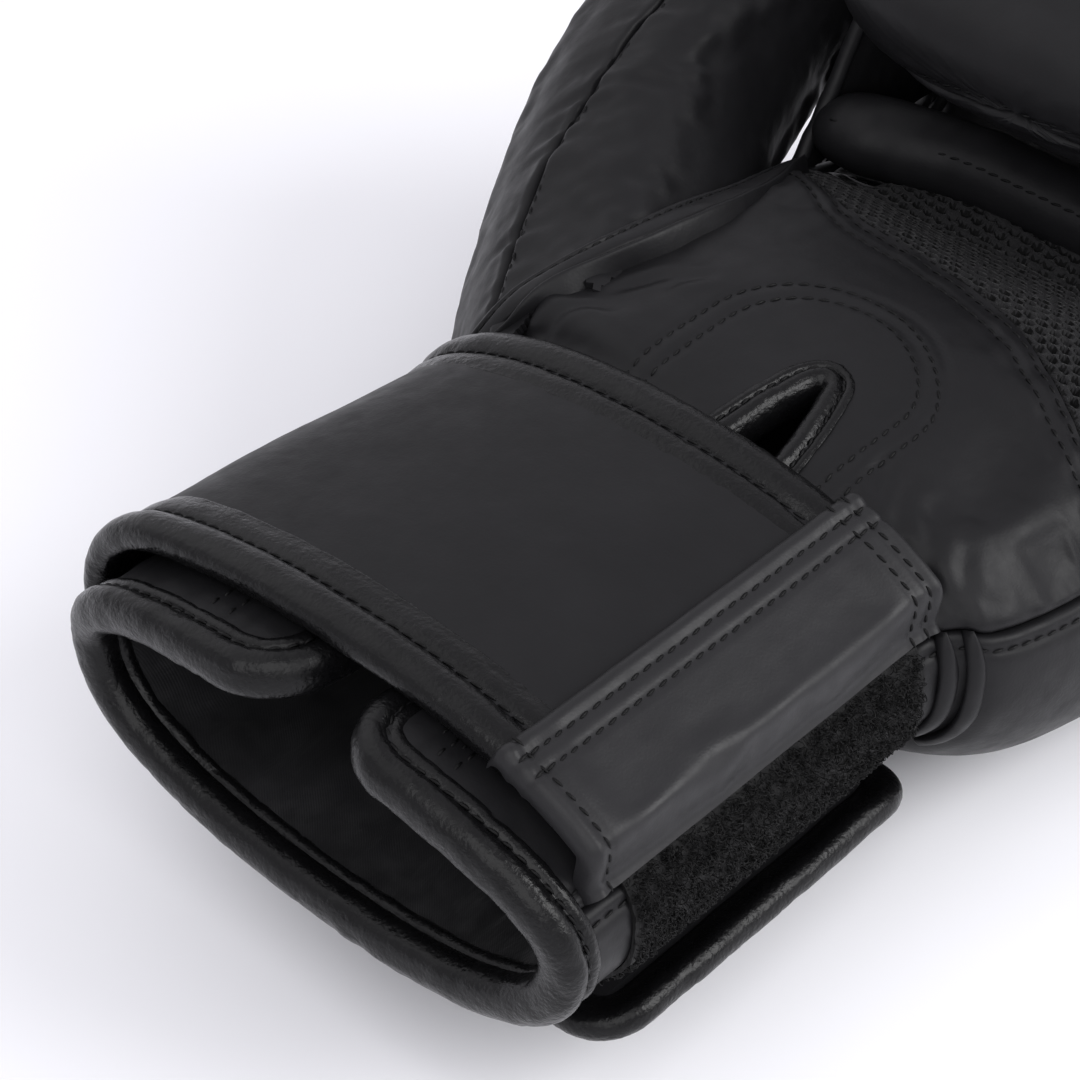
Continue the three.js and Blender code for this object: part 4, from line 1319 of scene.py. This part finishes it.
def build_side_web():
    """The leather wall between the grip bar's thumb end and the fist, with a rolled front edge."""
    rise, run = np.meshgrid(np.linspace(0, 1, 60), np.linspace(0, 1, 60), indexing="ij")
    z = 60 + 34 * rise
    front = 206 + 0.66 * (z - 67) + 1.5 * np.sin(rise * math.pi)
    y = front + (268 - front) * run
    x = -58.2 + 1.8 * np.sin(run * math.pi) * np.sin(rise * math.pi)
    points = np.stack([x, y, z], -1)
    points[..., 0] += 0.5 * rumple(points, (20, 9, 12), 121)
    obj = slab("grip_bar_side_web", points + (1.1, 0, 0), points - (1.1, 0, 0), MATTE)
    attach(obj, ROOT, "matte_leather")
    path = points[:, 0]
    inward = np.tile([1.0, 0, 0], (len(path), 1))
    ups = unit(np.cross(tangents(path), inward))
    turns = np.radians(np.arange(0, 360, 18))
    circle = 1.8 * np.stack([np.cos(turns), np.sin(turns)], -1)
    rings = carried(path, inward, ups, circle)
    obj = sweep("grip_bar_side_roll", path, ups, inward, circle, MATTE, False, 0.15 * rumple(rings, 5, 123))
    attach(obj, ROOT, "matte_leather")


# the welt's edges from the strap to the fork of thumb and palm: on the palm, then on the thumb
WELT_LINES = (
    ((-55.2, 96, 64.2), (-50.9, 103, 71.8), (-47.0, 110, 79.8), (-43.0, 124, 82.0), (-39.6, 136, 83.3),
     (-38.2, 150, 82.8), (-38.8, 163, 80.4), (-41.6, 176, 77.0), (-45.9, 186, 73.6), (-49.2, 194, 70.4)),
    ((-62.0, 95, 56.0), (-61.2, 101, 65.2), (-57.4, 109, 74.4), (-51.6, 122, 81.2), (-49.4, 136, 81.9),
     (-48.8, 149, 80.9), (-48.9, 163, 77.8), (-50.6, 176, 74.2), (-52.2, 186, 71.2), (-53.5, 194, 68.4)),
)  # fmt: skip
# across the welt, from the thumb to the palm: the share of its width and the height there
WELT_ACROSS = (
    (-0.14, -4.6), (-0.04, -1.8), (0.03, 0.1), (0.1, 0.75), (0.17, 0.85), (0.23, 0.35), (0.3, 0.9),
    (0.42, 1.1), (0.56, 1.05), (0.66, 0.8), (0.72, 0.25), (0.78, 0.7), (0.83, 1.5), (0.89, 1.85),
    (0.95, 1.5), (1.0, 0.3), (1.05, -1.6), (1.1, -4.4),
)  # fmt: skip


def build_welt():
    """Strip over the seam between palm and thumb, with a piped edge along the palm."""
    palm, thumb = (along(np.array(line), np.linspace(0, len(line) - 1, 150)) for line in WELT_LINES)
    across = palm - thumb
    up = unit(np.cross(across, np.gradient(palm, axis=0)))
    up = up * np.sign(up[:, 2:])
    share = np.linspace(0, len(WELT_ACROSS) - 1, 60)
    share, height = along(np.array(WELT_ACROSS), share).T
    points = thumb[:, None] + across[:, None] * share[None, :, None] + up[:, None] * height[None, :, None]
    uneven = 0.22 * rumple(points, (6, 14, 6), 95) + 0.05 * rumple(points, 2.5, 97)
    points = points + up[:, None] * uneven[..., None]
    obj = slab("thumb_welt_strip", points, points - up[:, None] * 1.6, MATTE)
    attach(obj, ROOT, "matte_leather", "thumb_welt")
    for at in (0.23, 0.72):
        column = points[:, np.argmin(np.abs(share - at))]
        ROWS_OF[ROOT].append((column[2:-8] + up[2:-8] * 0.15, up[2:-8]))


def build_thumb():
    def gathers(p):
        reach = smooth(150, 225, p[..., 1])
        return 0.35 * rumple(p, (7, 7, 7), 61) * reach

    for name, first, last, nodes in (
        ("thumb_outer_leather", THUMB_SEAM[0], THUMB_SEAM[1], ["thumb_outer_cover", "thumb_foam"]),
        ("thumb_inner_leather", THUMB_SEAM[1] - 360, THUMB_SEAM[0], ["thumb_inner_cover", "thumb_lining"]),
    ):
        edges = {"left": (2.4, [], 0.7), "right": (2.4, [], 0.7)}
        leather_panel(
            name,
            seamed_thumb(),
            lines(first, last, 2.6, 1.4, 14),
            lines(0.3, THUMB_POLE - 0.01, 0.045),
            THUMB_RIDE,
            nodes,
            edges,
            billowing=(2.2, 0.012, 2.5),
            relief=gathers,
            hole=in_body,
            weld=True,
        )
    vs = np.linspace(0.35, 6.6, 160)
    for u, inside in ((THUMB_SEAM[0], -3.4), (THUMB_SEAM[1], 3.4)):
        path = seamed_thumb(1.25)(np.full_like(vs, u + inside), vs)
        ups = unit(seamed_thumb()(np.full_like(vs, u + inside), vs) - path)
        ROWS_OF[THUMB_RIDE] += outside((path + ups * 0.9, ups), lambda p: BODY_SURFACE.height(p) < 1)


def build_tether():
    start, end = np.array([-84.0, 244, 86]), np.array([-50.0, 265, 88])
    share = np.linspace(0, 1, 24)
    path = start + (end - start) * share[:, None]
    path[:, 2] -= 1.2 * np.sin(share * math.pi)
    ahead = tangents(path)
    ups = unit(np.cross(ahead, np.tile([0.0, 0, 1], (24, 1))))
    inward = np.tile([0.0, 0, 1], (24, 1))
    profile = smooth_profile(
        [(-10.5, 0), (-9.5, 1.3), (-7, 0.9), (7, 0.9), (9.5, 1.3), (10.5, 0), (9.5, -1.3), (-9.5, -1.3)]
    )
    obj = sweep("thumb_tether_strip", path, ups, inward, profile, GLOSS)
    ride = ("hand_and_cuff", "thumb", tuple(place(end)[0]), tuple(place(start)[0]))
    attach(obj, ride, "gloss_leather", "thumb_tether")


# ---------------------------------------------------------------- strap

STRAP_PROFILE = smooth_profile(
    [
        (11.6, 1.5), (10.6, 1.95), (8.4, 2.3), (6.3, 2.2), (5.2, 1.7), (4.4, 2.35), (2.8, 3.2), (0.2, 3.4),
        (-2.3, 2.4), (-3.3, 0.0), (-2.3, -2.2), (0.2, -2.8), (3.6, -2.5), (5.2, -2.0), (8.0, -2.2),
        (11.6, -1.9),
    ]
)  # fmt: skip
STRAP_GROOVE = (5.2, 1.95)
STRAP_PARTS = {
    "palm": (42, 125, ["strap_anchor_web", "strap_palm_web"], ["strap_anchor", "strap_palm"]),
    "side": (125, 180, ["strap_side_web"], ["strap_side"]),
    "back": (180, 258, ["strap_back_web"], ["strap_back"]),
    "tab": (258, 311, ["strap_tab_web"], []),
}


def strap_line(us, ys):
    """Points in the middle of the strap's thickness, and outward normals there."""
    form = strap_form(STRAP_THICK / 2)
    points = form(us, ys)
    across = form(us + 0.5, ys) - form(us - 0.5, ys)
    onward = form(us, ys + 0.5) - form(us, ys - 0.5)
    return points, unit(np.cross(onward, across))


def build_strap():
    for part, (first, last, webs, bound) in STRAP_PARTS.items():
        ride = STRAP_RIDES[part]
        us = lines(first, last, 1.1)
        ys = lines(STRAP_Y[0] + 3.4, STRAP_Y[1] - 3.4, 1.2)
        top, normals = patch(strap_form(STRAP_THICK), us, ys, dv=0.4)
        below = top - normals * STRAP_THICK
        edge = np.minimum(ys - ys[0], ys[-1] - ys)[:, None]
        height = 0.22 * rumple(top, (30, 22, 30), 101, 3) * smooth(5, 16, edge) + 0.03 * rumple(top, 2.5, 5)
        top = top + normals * height[..., None]
        obj = slab(f"strap_{part}_leather", top, below, MATTE)
        attach(obj, ride, "matte_leather", *webs, fill=0.4)
        if part == "tab":
            continue
        for edge_name, y, side in (("wrist", STRAP_Y[0], 1), ("hand", STRAP_Y[1], -1)):
            path, ups = strap_line(us, np.full_like(us, y))
            binding(
                f"strap_{part}_{edge_name}_roll",
                path,
                ups,
                STRAP_PROFILE,
                STRAP_GROOVE,
                ride,
                [f"{b}_{edge_name}_binding" for b in bound],
                False,
                side=side,
                puckers=0.22,
            )
    build_tab_end()


def build_tab_end():
    """The binding round the strap's free end, and the hook tape inside it."""
    first, corner = 258.0, 9.0
    spots = [(u, STRAP_Y[0]) for u in np.arange(first, STRAP_END - corner, 1.2)]
    for a in np.radians(np.arange(0, 90.1, 10)):
        spots.append((STRAP_END - corner + corner * math.sin(a), STRAP_Y[0] + corner * (1 - math.cos(a))))
    spots += [(STRAP_END, y) for y in np.arange(STRAP_Y[0] + corner + 1.2, STRAP_Y[1] - corner, 1.2)]
    for a in np.radians(np.arange(90, -0.1, -10)):
        spots.append((STRAP_END - corner + corner * math.sin(a), STRAP_Y[1] - corner * (1 - math.cos(a))))
    spots += [(u, STRAP_Y[1]) for u in np.arange(STRAP_END - corner, first - 0.01, -1.2)]
    us, ys = np.array(spots).T
    path, ups = strap_line(us, ys)
    path, ups = even(path, ups, 1.1, False)
    path, ups = smooth_loop(path, 3, False), unit(smooth_loop(ups, 4, False))
    ride, bound = STRAP_RIDES["tab"], ["strap_tab_binding"]
    binding("strap_tab_roll", path, ups, STRAP_PROFILE, STRAP_GROOVE, ride, bound, False, puckers=0.25)

    points, normals = patch(strap_form(-0.3), lines(293, 309, 0.55), lines(19, 86, 0.5), dv=0.4)
    x, y = points[..., 0], points[..., 1]
    rows = np.cos(x * 2 * math.pi / 1.5) * np.cos(y * 2 * math.pi / 1.3)
    tips = points - normals * (1.2 + 0.55 * smooth(0.1, 0.8, rows))[..., None]
    obj = slab("strap_hooks", points, tips, HOOKS)
    attach(obj, ("strap_tab",), "hook_tape", "strap_hook_tape")


def build_anchor_patch():
    """The leather patch over the strap's fixed end, with folded and double-stitched edges."""
    high = 2 + STRAP_THICK / 2 + 3.2 + 0.4

    def form(u, y):
        lift = 0.6 + (high - 0.6) * smooth(24, 38, u) + 1.6
        bed = smooth(12, 20, y) * (1 - smooth(86, 93, y))
        lift = lift - 1.3 * bed * smooth(30, 45, u)
        return body_at(u, section_at_y(y), -lift, -lift, -lift)

    us, ys = lines(SEAM_LITTLE + 2.2, STRAP_HINGES[0] + 1.2, 0.75), lines(5.8, 99.8, 0.95)
    points, normals = patch(form, us, ys, dv=0.4)
    moved = billow(points, normals, 1.5, 0.006, 1.5)
    amount = np.sum((moved - points) * normals, -1)
    distances = edge_distances(points)
    inner = np.minimum(np.minimum(distances["right"], distances["high"]), distances["low"])
    height = 0.6 * amount * smooth(5, 14, inner)
    height = height + 0.1 * rumple(points, 12, 111) + 0.03 * rumple(points, 2.4, 5)
    plan = {"right": (1.9, [4.4, 8.2]), "high": (1.9, [3.6, 7.4]), "low": (1.9, [4.4])}
    for edge, (roll, rows) in plan.items():
        d = distances[edge]
        height = height - rolled(d, roll)
        fold = np.exp(-(((d - rows[0] / 2) / 1.3) ** 2))
        height = height + 0.45 * fold
        for at in rows:
            height = height - 0.5 * np.exp(-(((d - at) / 0.75) ** 2))
    top = points + normals * height[..., None]
    obj = slab("anchor_patch_leather", top, top - normals * 1.7, PATCH)
    attach(obj, ROOT, "matte_leather", "strap_anchor_patch", fill=0.5)
    for edge, (_, rows) in plan.items():
        for at in rows:
            line = edge_line(top, distances, edge, at)
            other = distances["low" if edge == "right" else "right"]
            line, ups = settle(line, top, normals)
            trim = 3 if edge == "right" else 2
            ROWS_OF[ROOT].append((line[trim:-trim], ups[trim:-trim]))


def build_loop_field():
    """Loop tape on the back of the cuff: a woven base under a crowd of small thread loops."""
    us, ys = lines(300, 360 + SEAM_LITTLE + 0.8, 1.0), lines(13.5, 93.5, 1.0)
    form = lambda u, y: body_at(u, section_at_y(y), -0.9, -0.9, -0.9)
    points, normals = patch(form, us, ys, dv=0.4)
    top = points + normals * (0.35 * rumple(points, 2.2, 121))[..., None]
    obj = slab("loop_tape_base", top, points - normals * 0.8, PILE)
    attach(obj, ROOT, "loop_pile", "loop_field")
    build_loop_threads(form, us, ys)


def build_loop_threads(form, us, ys, count=7500):
    """Small arches of thread that stand up from the tape at random places and leans."""
    rng = np.random.default_rng(7)
    u = rng.uniform(us[0] + 1, us[-1] - 1, count)
    y = rng.uniform(ys[0] + 0.6, ys[-1] - 0.6, count)
    roots = form(u, y)
    ups = unit(form(u, y) - body_at(u, section_at_y(y), 1.0))
    spin = rng.uniform(0, 2 * math.pi, count)
    side = unit(np.cross(ups, np.tile([0.0, 1, 0], (count, 1))))
    way = side * np.cos(spin)[:, None] + np.cross(ups, side) * np.sin(spin)[:, None]
    tilt = rng.uniform(-0.9, 0.9, count)[:, None]
    rise = unit(ups + np.cross(ups, way) * tilt)
    reach = rng.uniform(0.55, 1.25, count)[:, None]
    tall = rng.uniform(0.7, 1.7, count)[:, None]
    segments, sides, radius = 6, 3, 0.085
    flank = np.cross(way, rise)
    rings = []
    for k in range(segments + 1):
        t = k / segments * math.pi
        middle = roots + way * reach * math.cos(t) * 0.8 + rise * tall * math.sin(t) - ups * 0.2
        out = way * math.cos(t) + rise * math.sin(t)
        for s in range(sides):
            a = 2 * math.pi * s / sides
            rings.append(middle + radius * (out * math.cos(a) + flank * math.sin(a)))
    rings = np.stack(rings, 1)
    per = rings.shape[1]
    face = []
    for k in range(segments):
        for s in range(sides):
            a, b = k * sides + s, k * sides + (s + 1) % sides
            face.append((a, b, b + sides, a + sides))
    face = np.array(face)
    quads = (face[None] + (np.arange(count) * per)[:, None, None]).reshape(-1, 4).tolist()
    caps = []
    for i in range(count):
        caps.append([i * per + k for k in range(sides)][::-1])
        caps.append([i * per + per - sides + k for k in range(sides)])
    obj = make_object("loop_pile_threads", rings, quads + caps, PILE, 80)
    attach(obj, ROOT, "loop_pile")


# ---------------------------------------------------------------- everything

build_cuff()
build_edge_binding()
build_lining()
build_palm()
build_air_mesh()
build_hand()
build_side_fold()
build_grip_bar()
build_side_web()
build_welt()
build_thumb()
build_tether()
build_strap()
build_anchor_patch()
build_loop_field()

RIDE_NAMES = {ROOT: "hand", THUMB_RIDE: "thumb"}
RIDE_NAMES |= {ride: f"strap_{part}" for part, ride in STRAP_RIDES.items()}
for ride, rows in ROWS_OF.items():
    if rows:
        attach(stitches(f"stitching_{RIDE_NAMES[ride]}", rows), ride, "gloss_leather")

# ---------------------------------------------------------------- floor, light and camera


def build_stage():
    bpy.ops.mesh.primitive_plane_add(size=6, location=(0, 0, -0.0005))
    floor = bpy.context.object
    floor.name = "pale_floor"
    floor.data.materials.append(floor_material())
    world = bpy.data.worlds.new("studio")
    bpy.context.scene.world = world
    world.use_nodes = True
    world.node_tree.nodes["Background"].inputs["Color"].default_value = (0.945, 0.93, 0.985, 1)
    world.node_tree.nodes["Background"].inputs["Strength"].default_value = 0.8


def area_light(name, at, towards, size, power, color=(1, 1, 1)):
    data = bpy.data.lights.new(name, "AREA")
    data.shape, data.size, data.energy, data.color = "DISK", size, power, color
    light = bpy.data.objects.new(name, data)
    light.location = at
    light.rotation_euler = (Vector(towards) - Vector(at)).to_track_quat("-Z", "Y").to_euler()
    bpy.context.scene.collection.objects.link(light)


# the camera: from which side and height it looks, its lean, how far away it is and how wide it sees
AZIMUTH, ELEVATION, ROLL, DISTANCE, FIELD = 41.56, 39.67, 1.83, 0.5684, 20.56
TARGET = (-20.76, 79.83, 50.0)


def build_camera():
    a, e, r = (math.radians(x) for x in (AZIMUTH, ELEVATION, ROLL))
    back = Vector((math.sin(a) * math.cos(e), -math.cos(a) * math.cos(e), math.sin(e)))
    right = Vector((math.cos(a), math.sin(a), 0))
    up = back.cross(right)
    right, up = right * math.cos(r) + up * math.sin(r), up * math.cos(r) - right * math.sin(r)
    data = bpy.data.cameras.new("camera")
    data.sensor_width = 36
    data.lens = 18 / math.tan(math.radians(FIELD / 2))
    camera = bpy.data.objects.new("camera", data)
    turn = Matrix((right, up, back)).transposed()
    camera.matrix_world = Matrix.Translation(Vector(place(TARGET)[0]) + back * DISTANCE) @ turn.to_4x4()
    bpy.context.scene.collection.objects.link(camera)
    bpy.context.scene.camera = camera
    bpy.context.scene.view_settings.view_transform = "Standard"


build_stage()
area_light("key", (0.9, 0.45, 0.75), (0, 0, 0.04), 0.8, 11)
area_light("front", (0.5, -0.8, 0.9), (0, 0, 0.04), 1.4, 9)
area_light("fill", (-0.8, -0.2, 1.1), (0, 0, 0.05), 1.5, 3)
build_camera()
